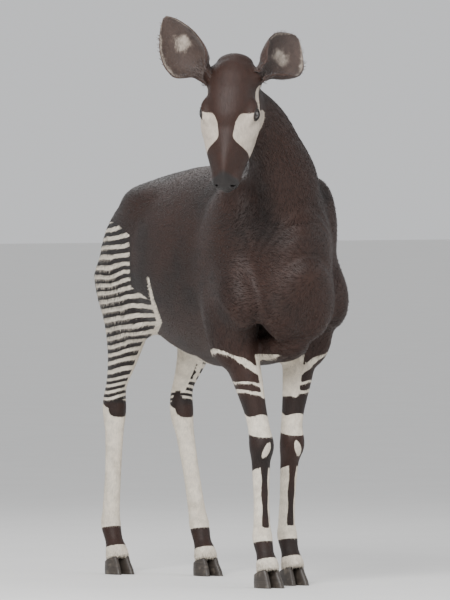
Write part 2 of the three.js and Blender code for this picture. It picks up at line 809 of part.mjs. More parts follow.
add("torso", torso(), finish.coat);
for (const { name, sign, foreStep, hindStep } of SIDES) {
  add("foreleg_" + name, leg(FORE, sign, foreStep), finish.pale);
  add("hindleg_" + name, leg(HIND, sign, hindStep), finish.pale);
  for (const [place, inner] of [["inner", -sign], ["outer", sign]]) {
    add("hoof_fore_" + name + "_" + place, claw(sign, 0, foreStep, HALF_TRACK_FORE, inner), finish.horn);
    add("hoof_hind_" + name + "_" + place, claw(sign, HIND_FEET, hindStep, HALF_TRACK_HIND, inner), finish.horn);
  }
}
add("neck", neckPiece(), finish.coat);
add("head", headPiece(), finish.pale);
for (const { name, sign } of SIDES) add("eye_" + name, ball(sign, EYE_RADIUS), finish.eye);
for (const one of EARS) add("ear_" + one.name, largest(ear(one).subtract(earCut(one).near)), finish.coat);
add("tail", tail(), finish.coat);

const box = new THREE.Box3().setFromObject(okapi);
const middle = box.getCenter(vec(0, 0, 0));
for (const { geometry } of okapi.children) geometry.translate(-middle.x, -middle.y, 0);

export default okapi;
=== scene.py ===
"""A life-size okapi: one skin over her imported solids, short coat, ears, eyes, claws and tail."""

from __future__ import annotations

import logging
import math
from dataclasses import dataclass, field
from enum import Enum
from typing import Callable, Sequence

import bmesh
import bpy
import numpy as np
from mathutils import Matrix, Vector

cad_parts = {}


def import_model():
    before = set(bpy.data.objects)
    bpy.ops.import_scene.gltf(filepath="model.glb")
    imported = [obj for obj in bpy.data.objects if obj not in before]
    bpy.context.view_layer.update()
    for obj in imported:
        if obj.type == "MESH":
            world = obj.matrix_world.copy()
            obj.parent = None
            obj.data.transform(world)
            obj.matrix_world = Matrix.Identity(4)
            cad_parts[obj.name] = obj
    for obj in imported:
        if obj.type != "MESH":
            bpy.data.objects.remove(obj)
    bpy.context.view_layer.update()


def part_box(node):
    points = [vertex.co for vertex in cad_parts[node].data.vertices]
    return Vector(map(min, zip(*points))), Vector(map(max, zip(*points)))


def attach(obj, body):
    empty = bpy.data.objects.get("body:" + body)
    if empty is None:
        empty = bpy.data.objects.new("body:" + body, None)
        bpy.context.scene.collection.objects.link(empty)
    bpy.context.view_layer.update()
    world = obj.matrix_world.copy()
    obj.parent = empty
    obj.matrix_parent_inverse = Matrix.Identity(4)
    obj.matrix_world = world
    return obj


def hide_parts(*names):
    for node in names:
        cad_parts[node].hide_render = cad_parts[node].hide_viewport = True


log = logging.getLogger("okapi")

Points = np.ndarray
Field = Callable[[Points], np.ndarray]
Colour = tuple[float, float, float, float]

# Design sizes, in millimetres, with Y = 0 midway between her fore feet; she faces -Y, +X is her left.
WITHERS = 1600.0
HIND_FEET = 970.0
FORE_STEP = 70.0
HIND_STEP = 140.0
HALF_TRACK_FORE = 88.0
HALF_TRACK_HIND = 122.0
HOOF_HEIGHT = 76.0
HOOF_LENGTH = 112.0
HOOF_HALF = 25.0
CLEFT = 5.0
CORONET = 63.0  # height of the hair's edge over a claw, CORONET_AHEAD before the foot's own place
CORONET_AHEAD = 42.0
CORONET_SLOPE = 0.34
HOOF_AHEAD = 48.0
HEAD_YAW, HEAD_PITCH, HEAD_TILT = 37.0, 67.0, -1.5
EYE_CENTRE = np.array([-386.0, -372.0, 1721.0])
EYE_RADIUS = 23.0
EYE_SEAT = np.array([-43.0, 86.0, 12.0])
EAR_ROOT = np.array([-188.0, 84.0, 14.0])
EAR_LENGTH = 280.0
TAIL_ROOT = np.array([0.0, 1090.0, 1290.0])
TAIL_LENGTH = 330.0
SKIN_DEPTH = 2.5  # how far the skin lies below the outline of the coat
HEAD_FLOOR = 1430.0  # no part of the head lies lower
RIM_WIDE, RIM_HIGH = 0.92, 0.62  # half sizes of the gap between the lids over the eye's distance
OUTSIDE = -20.0  # the value of a mark well outside it

TRUNK = [
    (-205, 1250, 1000, 98),
    (-110, 1440, 930, 172),
    (30, 1552, 862, 220),
    (200, 1578, 818, 238),
    (420, 1572, 806, 252),
    (620, 1562, 850, 254),
    (800, 1534, 910, 232),
    (940, 1474, 960, 200),
    (1050, 1376, 1010, 154),
    (1118, 1280, 1070, 98),
]
FORELEG = [
    (1000, 42, 148, 0.15, 80, 106),
    (905, 56, 142, 0.25, 68, 90),
    (780, 30, 122, 0.45, 55, 68),
    (610, 8, 97, 0.72, 41, 45),
    (528, -4, 93, 0.8, 47, 49),
    (462, 6, 91, 0.86, 37, 36),
    (330, 12, 89, 0.95, 31, 33),
    (228, 14, 88, 1, 33, 37),
    (186, 10, 88, 1, 39, 42),
    (128, -12, 88, 1, 35, 36),
    (84, -30, 88, 1, 43, 47),
    (40, -42, 88, 1, 45, 50),
]
HINDLEG = [
    (1130, -10, 132, 0.1, 104, 180),
    (995, -30, 136, 0.22, 86, 134),
    (850, 6, 124, 0.38, 58, 82),
    (712, 80, 108, 0.52, 39, 50),
    (628, 92, 102, 0.62, 45, 54),
    (540, 78, 104, 0.7, 36, 42),
    (380, 54, 112, 0.84, 32, 35),
    (240, 38, 120, 0.95, 34, 39),
    (192, 30, 122, 1, 39, 43),
    (130, 4, 122, 1, 35, 37),
    (84, -20, 122, 1, 43, 48),
    (40, -34, 122, 1, 45, 50),
]
HEAD = [
    (-248, 38, -30, 58),
    (-200, 72, -80, 84),
    (-132, 88, -124, 96),
    (-32, 74, -136, 104),
    (44, 50, -126, 98),
    (100, 28, -112, 82),
    (150, 10, -102, 65),
    (192, -8, -96, 53),
]
# Each side's sign and the steps of its fore and hind foot.
SIDES = {"left": (1, FORE_STEP, -HIND_STEP + 15), "right": (-1, -FORE_STEP, HIND_STEP)}
FLESH_NODES = (
    "torso",
    "neck",
    "head",
    "foreleg_left",
    "foreleg_right",
    "hindleg_left",
    "hindleg_right",
)


class Turn(Enum):
    """An axis that a form turns about."""

    X = 0
    Y = 1
    Z = 2


def turning(axis: Turn, degrees: float) -> np.ndarray:
    """Returns the 3x3 rotation by `degrees` about `axis`."""
    c, s = math.cos(math.radians(degrees)), math.sin(math.radians(degrees))
    made = np.eye(3)
    a, b = [(1, 2), (2, 0), (0, 1)][axis.value]
    made[a, a] = made[b, b] = c
    made[b, a], made[a, b] = s, -s
    return made


HEAD_TURN = turning(Turn.Z, -90 - HEAD_YAW) @ turning(Turn.Y, HEAD_PITCH) @ turning(Turn.Z, HEAD_TILT)


def from_head(points: Points) -> Points:
    """Returns points of the head's frame (along the face, left, out of the forehead) in the body's."""
    return np.asarray(points, float) @ HEAD_TURN.T + EYE_CENTRE


def to_head(points: Points) -> Points:
    """Returns points of the body's frame in the head's frame."""
    return (np.asarray(points, float) - EYE_CENTRE) @ HEAD_TURN


def unit(vectors: Points) -> Points:
    """Returns the vectors at length one."""
    return vectors / np.maximum(np.linalg.norm(vectors, axis=-1, keepdims=True), 1e-12)


def smooth(edge0: float, edge1: float, value: np.ndarray) -> np.ndarray:
    """Returns 0 below `edge0`, 1 above `edge1` and a soft step between."""
    t = np.clip((value - edge0) / (edge1 - edge0), 0, 1)
    return t * t * (3 - 2 * t)


def swell(value: np.ndarray, width: float) -> np.ndarray:
    """Returns a soft bump: 1 at zero, falling off over `width` on either side."""
    return np.exp(-((value / width) ** 2))


def from_line(points: Points, a: Points, b: Points) -> np.ndarray:
    """Returns each point's distance from the straight line between `a` and `b`."""
    ray = b - a
    t = np.clip((points - a) @ ray / (ray @ ray), 0, 1)
    return np.linalg.norm(points - a - t[:, None] * ray, axis=1)


def curve(points: Points, u: np.ndarray) -> Points:
    """Returns points at `u` in 0..1 on the centripetal spline through `points`."""
    last = len(points) - 1
    p = u * last
    i = np.minimum(np.floor(p).astype(int), last - 1)
    w = (p - i)[:, None]
    ends = np.vstack([2 * points[0] - points[1], points, 2 * points[-1] - points[-2]])
    p0, p1, p2, p3 = (ends[i + k] for k in range(4))
    span = [np.maximum(np.linalg.norm(b - a, axis=1, keepdims=True) ** 0.5, 1e-4) for a, b in
            ((p0, p1), (p1, p2), (p2, p3))]
    t1 = ((p1 - p0) / span[0] - (p2 - p0) / (span[0] + span[1]) + (p2 - p1) / span[1]) * span[1]
    t2 = ((p2 - p1) / span[1] - (p3 - p1) / (span[1] + span[2]) + (p3 - p2) / span[2]) * span[1]
    return p1 + t1 * w + (-3 * p1 + 3 * p2 - 2 * t1 - t2) * w**2 + (2 * p1 - 2 * p2 + t1 + t2) * w**3


def ellipsoid(local: Points, radii: Sequence[float] | Points) -> np.ndarray:
    """Returns the distance to an ellipsoid of `radii` from local coordinates."""
    k0 = np.linalg.norm(local / radii, axis=-1)
    k1 = np.linalg.norm(local / np.square(radii), axis=-1)
    return np.where(k1 < 1e-9, -np.min(radii, axis=-1), k0 * (k0 - 1) / np.maximum(k1, 1e-9))


def join(a: np.ndarray, b: np.ndarray, blend: float) -> np.ndarray:
    """Returns two distances joined over a soft seam `blend` wide."""
    near = np.maximum(blend - np.abs(a - b), 0) / blend
    return np.minimum(a, b) - near * near * blend / 4


@dataclass
class Sweep:
    """A bent body with elliptical sections along a spline.

    Args:
        at: the stations' middles.
        half: their half widths and half depths.
        side: the way that each width runs.
        steps: rings made between two stations.
    """

    at: Points
    half: Points
    side: Points
    steps: int = 6

    def __post_init__(self) -> None:
        """Makes the rings."""
        last = len(self.at) - 1
        u = np.arange(last * self.steps + 1) / (last * self.steps)
        self.middle = curve(self.at, u)
        ahead, behind = curve(self.at, np.minimum(u + 1e-4, 1)), curve(self.at, np.maximum(u - 1e-4, 0))
        self.along = unit(ahead - behind)
        sizes = curve(np.column_stack([self.half, np.zeros(last + 1)]), u)
        self.wide, self.deep = sizes[:, 0], sizes[:, 1]
        base = np.minimum((u * last).astype(int), last - 1)
        share = (u * last - base)[:, None]
        across = self.side[base] * (1 - share) + self.side[base + 1] * share
        across = unit(across - self.along * np.sum(across * self.along, axis=1, keepdims=True))
        self.across = across
        self.up = np.cross(self.along, across)
        reach = max(self.wide.max(), self.deep.max())
        self.low, self.high = self.middle.min(0) - reach, self.middle.max(0) + reach

    def nearest(self, points: Points) -> tuple[np.ndarray, np.ndarray]:
        """Returns each point's nearest piece of the middle line and its share along it."""
        best = np.full(len(points), np.inf)
        index = np.zeros(len(points), int)
        share = np.zeros(len(points))
        for i in range(len(self.middle) - 1):
            a, step = self.middle[i], self.middle[i + 1] - self.middle[i]
            t = np.clip((points - a) @ step / (step @ step), 0, 1)
            gap = np.sum((a + t[:, None] * step - points) ** 2, axis=1)
            closer = gap < best
            best[closer], index[closer], share[closer] = gap[closer], i, t[closer]
        return index, share

    def distance(self, points: Points) -> np.ndarray:
        """Returns the distance from the body's surface, negative inside."""
        outside = np.maximum(np.maximum(self.low - points, points - self.high), 0)
        far = np.linalg.norm(outside, axis=1)
        near = far <= 150
        if not near.any():
            return far
        p = points[near]
        i, t = self.nearest(p)
        t = t[:, None]

        def mixed(values: Points) -> Points:
            """Returns ring values between the two rings."""
            return values[i] * (1 - t) + values[i + 1] * t

        off = p - mixed(self.middle)
        sizes = mixed(np.column_stack([self.wide, self.deep]))
        local = np.column_stack([
            np.sum(off * unit(mixed(self.across)), axis=1),
            np.sum(off * unit(mixed(self.up)), axis=1),
            np.sum(off * unit(mixed(self.along)), axis=1),
        ])
        radii = np.column_stack([sizes, 0.8 * sizes.min(axis=1)])
        far[near] = ellipsoid(local, radii)
        return far

    def direction(self, points: Points) -> Points:
        """Returns the middle line's direction beside each point."""
        i, _ = self.nearest(points)
        return self.along[i]


@dataclass
class Mass:
    """A muscle or bone: an ellipsoid about `at`, turned about X and then Z, joined softly by `blend`."""

    at: tuple[float, float, float]
    radii: tuple[float, float, float]
    blend: float
    tilt: float = 0.0
    turn: float = 0.0

    def distance(self, points: Points) -> np.ndarray:
        """Returns the distance from its surface."""
        back = turning(Turn.Z, self.turn) @ turning(Turn.X, self.tilt)
        return ellipsoid((points - np.array(self.at)) @ back, np.array(self.radii, float))


def leg_sweep(levels: Sequence[tuple[float, ...]], side: int, foot: float, step: float) -> Sweep:
    """Returns one leg's sweep with its foot `step` behind its usual place."""
    rows = np.array(levels, float)
    z, back, out, share, wide, deep = rows.T
    at = np.column_stack([side * out, foot + back + share * step, z])
    return Sweep(at, np.column_stack([wide, deep]), np.tile([1.0, 0, 0], (len(rows), 1)))


def neck_sweep() -> Sweep:
    """Returns the neck's sweep from inside the chest to the back of the head."""
    base, poll = np.array([1.0, 0, 0]), HEAD_TURN[:, 1]
    rows = [
        ((0, 130, 1320), 160, 240, 0.0),
        ((-2, -10, 1395), 160, 205, 0.0),
        ((-32, -118, 1510), 132, 165, 0.3),
        ((-112, -204, 1632), 102, 124, 0.5),
        ((-196, -266, 1735), 84, 94, 0.8),
        (tuple(from_head([-128, 0, -30])), 70, 88, 1.0),
    ]
    at = np.array([r[0] for r in rows], float)
    half = np.array([r[1:3] for r in rows], float)
    side = np.array([base * (1 - r[3]) + poll * r[3] for r in rows])
    return Sweep(at, half, side)


def body_masses() -> list[Mass]:
    """Returns the muscles and bones that show on the trunk and the legs."""
    made = [
        Mass((0, 110, WITHERS - 110), (58, 215, 110), 90, -3),
        Mass((0, 0, 895), (84, 190, 62), 70),
    ]
    for s in (1, -1):
        made += [
            Mass((s * 166, 52, 1290), (78, 140, 236), 70, 17, s * 4),
            Mass((s * 186, -50, 1090), (76, 100, 140), 60, -28),
            Mass((s * 188, 60, 980), (60, 112, 156), 60, -8),
            Mass((s * 66, -165, 1070), (80, 78, 142), 70),
            Mass((s * 132, 915, 1190), (92, 190, 236), 80, 8),
            Mass((s * 112, 1045, 1150), (74, 100, 176), 70, 6),
            Mass((s * 148, 790, 1420), (50, 90, 46), 110),
            Mass((s * 150, 840, 1000), (58, 86, 112), 70, 20),
        ]
    return made


def leg_masses() -> list[Mass]:
    """Returns each hock's heel bone and each knee's cap."""
    made = []
    for sign, fore, hind in SIDES.values():
        made += [
            Mass((sign * 104, HIND_FEET + 0.58 * hind + 126, 668), (21, 24, 56), 26, 14),
            Mass((sign * 93, 0.8 * fore - 18, 530), (34, 36, 48), 22),
        ]
    return made


def head_masses() -> list[Mass]:
    """Returns the bones and soft forms of the head, in the head's frame."""
    made = [
        Mass((-110, 0, 54), (110, 68, 34), 40),
        Mass((-196, 0, 6), (72, 70, 58), 60),
        Mass((80, 0, 4), (130, 34, 40), 40),
        Mass((198, 0, -40), (42, 45, 36), 26),
        Mass((194, 0, -88), (38, 31, 20), 14),
    ]
    for s in (1, -1):
        made += [
            Mass((EYE_SEAT[0] - 6, s * 84, 30), (46, 26, 22), 26, s * 20),
            Mass((EYE_SEAT[0] + 6, s * 84, -22), (66, 26, 22), 30),
            Mass((-86, s * 57, -74), (62, 31, 56), 36),
            Mass((200, s * 27, -42), (32, 19, 26), 14),
            Mass((EAR_ROOT[0], s * EAR_ROOT[1], EAR_ROOT[2]), (32, 30, 32), 34),
        ]
    return made


class Flesh:
    """Her whole shape as one distance field, in design millimetres."""

    def __init__(self) -> None:
        """Makes the sweeps and masses."""
        rows = np.array(TRUNK, float)
        y, back, belly, half = rows.T
        level = np.tile([1.0, 0, 0], (len(rows), 1))
        middle = np.column_stack([0 * y, y, (back + belly) / 2])
        self.trunk = Sweep(middle, np.column_stack([half, (back - belly) / 2]), level)
        self.neck = neck_sweep()
        rows = np.array(HEAD, float)
        f, top, low, half = rows.T
        self.head = Sweep(
            np.column_stack([f, 0 * f, (top + low) / 2]),
            np.column_stack([half, (top - low) / 2]),
            np.tile([0, 1.0, 0], (len(rows), 1)),
        )
        self.forelegs = [leg_sweep(FORELEG, s, 0, fore) for s, fore, _ in SIDES.values()]
        self.hindlegs = [leg_sweep(HINDLEG, s, HIND_FEET, hind) for s, _, hind in SIDES.values()]
        self.body_masses, self.leg_masses, self.head_masses = body_masses(), leg_masses(), head_masses()

    def head_distance(self, points: Points) -> np.ndarray:
        """Returns the distance from the head alone."""
        q = to_head(points)
        d = self.head.distance(q)
        near = d <= 150
        part = d[near]
        for one in self.head_masses:
            part = join(part, one.distance(q[near]), one.blend)
        d[near] = part
        return d

    def distance(self, points: Points) -> np.ndarray:
        """Returns the distance from her skin's outline, negative inside."""
        d = join(self.trunk.distance(points), self.neck.distance(points), 70)
        for one in self.body_masses:
            d = join(d, one.distance(points), one.blend)
        for leg in self.forelegs:
            d = join(d, leg.distance(points), 40)
        for leg in self.hindlegs:
            d = join(d, leg.distance(points), 50)
        for one in self.leg_masses:
            d = join(d, one.distance(points), one.blend)
        return join(d, self.head_distance(points), 40)


def slope(flow: Field, points: Points, step: float = 0.6) -> Points:
    """Returns the field's gradient by four samples round each point."""
    corners = np.array([[1, -1, -1], [-1, -1, 1], [-1, 1, -1], [1, 1, 1]], float)
    total = np.zeros_like(points)
    for corner in corners:
        total += corner * flow(points + step * corner)[:, None]
    return total / (4 * step)


def settle(flow: Field, points: Points, turns: int = 3) -> Points:
    """Moves points onto the surface of a field.

    Args:
        flow: the field.
        points: where they start, near the surface.
        turns: how often each is corrected.

    Returns:
        The moved points.
    """
    points = points.copy()
    for turn in range(turns):
        if turn in (0, 2):
            way = slope(flow, points)
            way = way / np.maximum(np.sum(way * way, axis=1, keepdims=True), 0.2)
        points -= np.clip(flow(points), -12, 12)[:, None] * way
    return points


def surface_net(flow: Field, low: Points, high: Points, step: float, block: int = 4) -> tuple[Points, Points]:
    """Wraps the surface of a field in a net of quads.

    Args:
        flow: the field, negative inside.
        low: lowest corner of the space to search.
        high: its highest corner.
        step: side of a cell.
        block: cells in one coarse block, of which only those near the surface are filled in.

    Returns:
        The vertices and the quads.
    """
    blocks = np.ceil((high - low) / (step * block)).astype(int)
    size = blocks * block + 1
    coarse = np.stack(np.meshgrid(*[np.arange(n + 1) for n in blocks], indexing="ij"), -1)
    rough = flow(low + coarse.reshape(-1, 3) * step * block).reshape(coarse.shape[:3])
    corners = [(i, j, k) for i in (0, 1) for j in (0, 1) for k in (0, 1)]

    def corner(grid: np.ndarray, at: tuple[int, int, int]) -> np.ndarray:
        """Returns the grid's values at one corner of every cell."""
        return grid[tuple(slice(a, n - 1 + a) for a, n in zip(at, grid.shape))]

    nearest = np.min([np.abs(corner(rough, c)) for c in corners], axis=0)
    active = np.argwhere(nearest < step * block * 1.7)
    value = np.full(size, 1e3)
    picks = [np.minimum((np.arange(n) + block // 2) // block, b) for n, b in zip(size, blocks)]
    value[:] = rough[np.ix_(*picks)]
    wanted = np.zeros(size, bool)
    for offset in np.ndindex(block + 1, block + 1, block + 1):
        wanted[tuple((active * block + offset).T)] = True
    spots = np.argwhere(wanted)
    value[wanted] = np.concatenate([flow(low + part * step) for part in np.array_split(spots, 12)])

    inside = value < 0
    total = np.sum([corner(inside, c).astype(np.int8) for c in corners], axis=0)
    cells = np.argwhere((total > 0) & (total < 8))
    at_corner = np.array([value[tuple((cells + c).T)] for c in corners])
    middle, crossed = np.zeros((len(cells), 3)), np.zeros((len(cells), 1))
    for i, a in enumerate(corners):
        for j, b in enumerate(corners):
            if j <= i or sum(abs(x - y) for x, y in zip(a, b)) != 1:
                continue
            cut = (at_corner[i] < 0) != (at_corner[j] < 0)
            share = at_corner[i][cut] / (at_corner[i][cut] - at_corner[j][cut])
            middle[cut] += np.array(a) + share[:, None] * (np.array(b) - np.array(a))
            crossed[cut] += 1
    points = low + (cells + middle / crossed) * step
    number = np.full(size - 1, -1)
    number[tuple(cells.T)] = np.arange(len(cells))
    rings = {
        0: ((0, -1, -1), (0, 0, -1), (0, 0, 0), (0, -1, 0)),
        1: ((-1, 0, -1), (-1, 0, 0), (0, 0, 0), (0, 0, -1)),
        2: ((-1, -1, 0), (0, -1, 0), (0, 0, 0), (-1, 0, 0)),
    }
    quads = []
    for axis, ring in rings.items():
        here = tuple(slice(0, -1) if a == axis else slice(1, -1) for a in range(3))
        there = tuple(slice(1, None) if a == axis else slice(1, -1) for a in range(3))
        change = np.argwhere(inside[here] != inside[there]) + [0 if a == axis else 1 for a in range(3)]
        made = np.column_stack([number[tuple((change + o).T)] for o in ring])
        out = ~inside[tuple(change.T)]
        made[out] = made[out][:, ::-1]
        quads.append(made)
    return points, np.vstack(quads)


def mesh_of(
    name: str, points: Points, faces: Sequence[Sequence[int]], placed: bool = True
) -> bpy.types.Object:
    """Makes a smooth mesh object.

    Args:
        name: its name.
        points: vertices, in metres in the row's frame if `placed`, else in design millimetres.
        faces: corners of each face.
        placed: whether the points are in their final place.

    Returns:
        The object, linked to the scene.
    """
    data = bpy.data.meshes.new(name)
    where = points if placed else PLACE.world(points)
    data.from_pydata(np.asarray(where, float).tolist(), [], [list(map(int, f)) for f in faces])
    data.shade_smooth()
    made = bpy.data.objects.new(name, data)
    bpy.context.collection.objects.link(made)
    return made


def set_value(made: bpy.types.Object, name: str, values: np.ndarray) -> None:
    """Stores one number for each vertex as a named attribute."""
    kind = "FLOAT" if values.ndim == 1 else "FLOAT_VECTOR"
    layer = made.data.attributes.get(name) or made.data.attributes.new(name, kind, "POINT")
    layer.data.foreach_set("value" if values.ndim == 1 else "vector", values.astype(np.float32).ravel())


def numbers(items: Sequence, name: str, width: int = 1, kind: type = float) -> np.ndarray:
    """Returns one property of every item as an array, in rows of `width` where that is over 1."""
    made = np.zeros(len(items) * width, kind)
    items.foreach_get(name, made)
    return made.reshape(-1, width) if width > 1 else made


def unwrap_by_shape(made: bpy.types.Object) -> None:
    """Unwraps a piece by its own shape and keeps each vertex's place there for the roots of its hair."""
    bpy.context.view_layer.objects.active = made
    made.data.uv_layers.new(name="OFBake")
    bpy.ops.object.select_all(action="DESELECT")
    made.select_set(True)
    bpy.ops.object.mode_set(mode="EDIT")
    bpy.ops.mesh.select_all(action="SELECT")
    bpy.ops.uv.smart_project(angle_limit=math.radians(66), island_margin=0.004)
    bpy.ops.object.mode_set(mode="OBJECT")
    places = np.zeros((len(made.data.vertices), 3))
    corner = numbers(made.data.loops, "vertex_index", kind=int)
    places[corner, :2] = numbers(made.data.uv_layers["OFBake"].uv, "vector", 2)
    set_value(made, "root", places)


@dataclass
class Place:
    """Where the design's own origin stands in the row's frame, in metres."""

    shift: Points = field(default_factory=lambda: np.zeros(3))

    def read(self) -> None:
        """Reads the shift from one claw, whose design place is known."""
        low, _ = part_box("hoof_fore_left_inner")
        left = HALF_TRACK_FORE - (2 * HOOF_HALF + CLEFT / 2)
        front = FORE_STEP - HOOF_AHEAD - HOOF_LENGTH / 2
        self.shift = np.array([low.x - left / 1000, low.y - front / 1000, 0.0])

    def world(self, points: Points) -> Points:
        """Returns design millimetres as metres in the row's frame."""
        return np.asarray(points, float) / 1000 + self.shift

    def design(self, points: Points) -> Points:
        """Returns metres in the row's frame as design millimetres."""
        return (points - self.shift) * 1000


PLACE = Place()


@dataclass
class EyePlace:
    """The eye's seat and the directions of its opening, in the head's frame."""

    sign: int

    def __post_init__(self) -> None:
        """Works out the directions."""
        self.seat = EYE_SEAT * (1, self.sign, 1)
        self.out = unit(np.array([0.26, self.sign * 0.86, 0.4]))
        level = np.array([1, 0, -0.22])
        self.level = unit(level - self.out * (level @ self.out))
        self.up = -self.sign * np.cross(self.out, self.level)

    def rim(self, q: Points, wide: float = RIM_WIDE, high: float = RIM_HIGH) -> np.ndarray:
        """Returns how far points lie inside (over 0) or outside the almond between the lids.

        Args:
            q: points of the head's frame.
            wide: the almond's half width over its distance from the eye's middle.
            high: its half height.

        Returns:
            1 in the middle, 0 on the rim, and less outside.
        """
        v = q - self.seat
        a = np.maximum(v @ self.out, 1e-3)
        x, y = (v @ self.level) / a, (v @ self.up) / a
        lean = np.where(y > 0, high * 1.08, high * 0.86)
        g = np.abs(x / wide) ** 2.1 + np.abs(y / lean) ** 1.6
        return np.where(v @ self.out > 4, 1 - g, -9)


def eye_rims(q: Points, wide: float = RIM_WIDE, high: float = RIM_HIGH) -> np.ndarray:
    """Returns the larger of both eyes' `rim` at points of the head's frame."""
    return np.max([EyePlace(s).rim(q, wide, high) for s in (1, -1)], axis=0)


@dataclass
class Markings:
    """Her coat's pattern as smooth numbers at points: each is thresholded by the coat's shader."""

    flesh: Flesh

    def leg_place(self, points: Points, leg: Sweep, sign: int) -> tuple[np.ndarray, np.ndarray]:
        """Returns how far forward and how far outward on a leg each point lies, from -1 to 1."""
        i, _ = leg.nearest(points)
        off = points - leg.middle[i]
        return -off[:, 1] / leg.deep[i], sign * off[:, 0] / leg.wide[i]

    def read(self, points: Points) -> dict[str, np.ndarray]:
        """Works out the pattern.

        Args:
            points: places on the skin, in design millimetres.

        Returns:
            phase (stripes counted), grey (0 or 1), limb (0 on the trunk, 1 down the limbs), and band,
            white and dark: how far inside the striped patch, a white or a dark mark each point lies.
        """
        made = {name: np.full(len(points), OUTSIDE) for name in ("band", "white", "dark")}
        made |= {name: np.zeros(len(points)) for name in ("phase", "grey")}
        _, y, z = points.T
        self.hindquarters(points, (y > 430) & (z < 1400), made)
        self.forelegs(points, (y < 330) & (z < 960), made)
        self.face(points, made)
        made["limb"] = np.maximum(1 - smooth(900, 1050, z), smooth(-20, -160, y) * smooth(1250, 1400, z))
        for name in ("band", "white", "dark"):
            made[name] = np.clip(made[name], OUTSIDE, 30)
        return made

    def hindquarters(self, points: Points, part: np.ndarray, made: dict[str, np.ndarray]) -> None:
        """Marks the haunches and hind legs: stripes down to the hock, white shanks, dark fetlocks."""
        p = points[part]
        x, y, z = p.T
        q = 0.891 * np.abs(x) + 0.454 * y
        front = np.interp(z, [700, 769, 850, 974, 1040, 1075, 1105, 1300, 1340],
                          [505, 508, 478, 432, 452, 500, 548, 553, 600])
        border = np.interp(z, [735, 769, 850, 974, 1067, 1142], [524, 517, 486, 437, 465, 480])
        stout = np.interp(z, [735, 974, 1150], [8, 11, 3])
        wobble = 5 * np.sin(q / 33 + 1) + 4 * np.sin(z / 41 + q / 57)
        level = z + 0.16 * (q - 520) + wobble
        made["phase"][part] = np.where(level > 770, level / 34, 770 / 34 + (level - 770) / 22)
        made["band"][part] = np.min([q - front, 1345 - z, z - 655], axis=0)
        edge = np.min([stout - np.abs(q - border), 1150 - z, z - 735], axis=0)
        leg_white, leg_dark = np.full((2, len(p)), OUTSIDE)
        for (sign, _, _), leg in zip(SIDES.values(), self.flesh.hindlegs):
            own = x * sign > 0
            ahead, outer = self.leg_place(p[own], leg, sign)
            zo = z[own]
            inner = np.min([-(outer + 0.28) * 60, 930 - zo, zo - 700], axis=0)
            shank = np.minimum(zo - 176 - 8 * ahead, 640 - zo - 22 * ahead)
            cuff = np.minimum(zo - 40, 103 - zo + 12 * ahead)
            leg_white[own] = np.max([inner, shank, cuff], axis=0)
            hock = 1 - np.hypot((zo - 632) / 34, (ahead - 1.0) / 0.6)
            rear = np.minimum(-(ahead + 0.8) * 30, 470 - zo)
            leg_dark[own] = np.maximum(hock * 20, np.minimum(rear, zo - 176))
        made["white"][part] = np.maximum(edge, leg_white)
        made["dark"][part] = leg_dark

    def forelegs(self, points: Points, part: np.ndarray, made: dict[str, np.ndarray]) -> None:
        """Marks the forelegs: slanting bands, a white cuff over the knee, a dark line down the shin."""
        p = points[part]
        x, _, z = p.T
        white, dark = np.full((2, len(p)), OUTSIDE)
        for (sign, _, _), leg in zip(SIDES.values(), self.flesh.forelegs):
            own = x * sign > 0
            ahead, outer = self.leg_place(p[own], leg, sign)
            zo = z[own]
            round_leg = (ahead + 1.3) * 50
            broad = 17 - 8 * outer + 4 * np.sin(5 * outer) - np.abs(zo - 818 - 46 * outer)
            block = np.min([-(outer + 0.3) * 50, 868 - zo, zo - 712 - 9 * np.sin(6 * ahead)], axis=0)
            upper = 5.5 - np.abs(zo - 757 - 5 * np.sin(3 * outer))
            lower = 6.5 - np.abs(zo - 722 - 10 * outer)
            bands = np.max([broad, block, upper, lower], axis=0)
            inner = np.min([bands, round_leg, (outer + 1.4) * 50], axis=0)
            cuff = np.minimum(zo - 568 + 8 * ahead, 640 - zo - 6 * np.sin(4 * ahead))
            cap = (1 - np.hypot((zo - 512) / 31, (outer - 0.04 + (zo - 512) / 140) / 0.3)) * 16
            cap = np.where(ahead > 0.2, cap, OUTSIDE)
            shank = np.minimum(zo - 168 - 8 * ahead, 436 - zo + 14 * ahead)
            foot = np.minimum(zo - 40, 103 - zo + 12 * ahead)
            white[own] = np.max([inner, cuff, cap, shank, foot], axis=0)
            line = np.min([(0.4 - np.abs(outer) + 0.05 * np.sin(zo / 17)) * 32, 452 - zo, zo - 222], axis=0)
            dark[own] = np.where(ahead > 0.3, line, OUTSIDE)
        made["white"][part] = white
        made["dark"][part] = dark

    def face(self, points: Points, made: dict[str, np.ndarray]) -> None:
        """Marks the head: pale cheeks up to the ears, a dark brow, nose and muzzle."""
        part = (points[:, 2] > 1380) & (self.flesh.head_distance(points) < 22)
        q = to_head(points[part])
        f, side, u = q[:, 0], np.abs(q[:, 1]), q[:, 2]
        brow = np.interp(f, [-120, -60, -30, 10, 60, 100, 130], [90, 74, 52, 34, 25, 30, 46])
        top = np.where(u > -50, side - brow, 20)
        wavy = 3 * np.sin(side / 9 + u / 23) + 2 * np.sin(f / 11 + 2)
        edges = np.stack([top, f + 62 - 0.55 * u + wavy, 112 - f - 0.35 * (u + 60) + wavy, u + 106 + 0.5 * f])
        cheek = -9 * np.log(np.exp(-np.clip(edges, -200, 200) / 9).sum(axis=0))
        behind_eye, before_ear = np.array([EYE_SEAT[0] - 4, 101, 0]), EAR_ROOT * (0.96, 1.08, 0.5)
        strip = 13 - from_line(np.column_stack([f, side, u]), behind_eye, before_ear)
        made["white"][part] = np.max([made["white"][part], cheek, strip], axis=0)
        made["dark"][part] = np.maximum(made["dark"][part], eye_rims(q, 1.3, 0.95) * 12)
        made["grey"][part] = 1.0


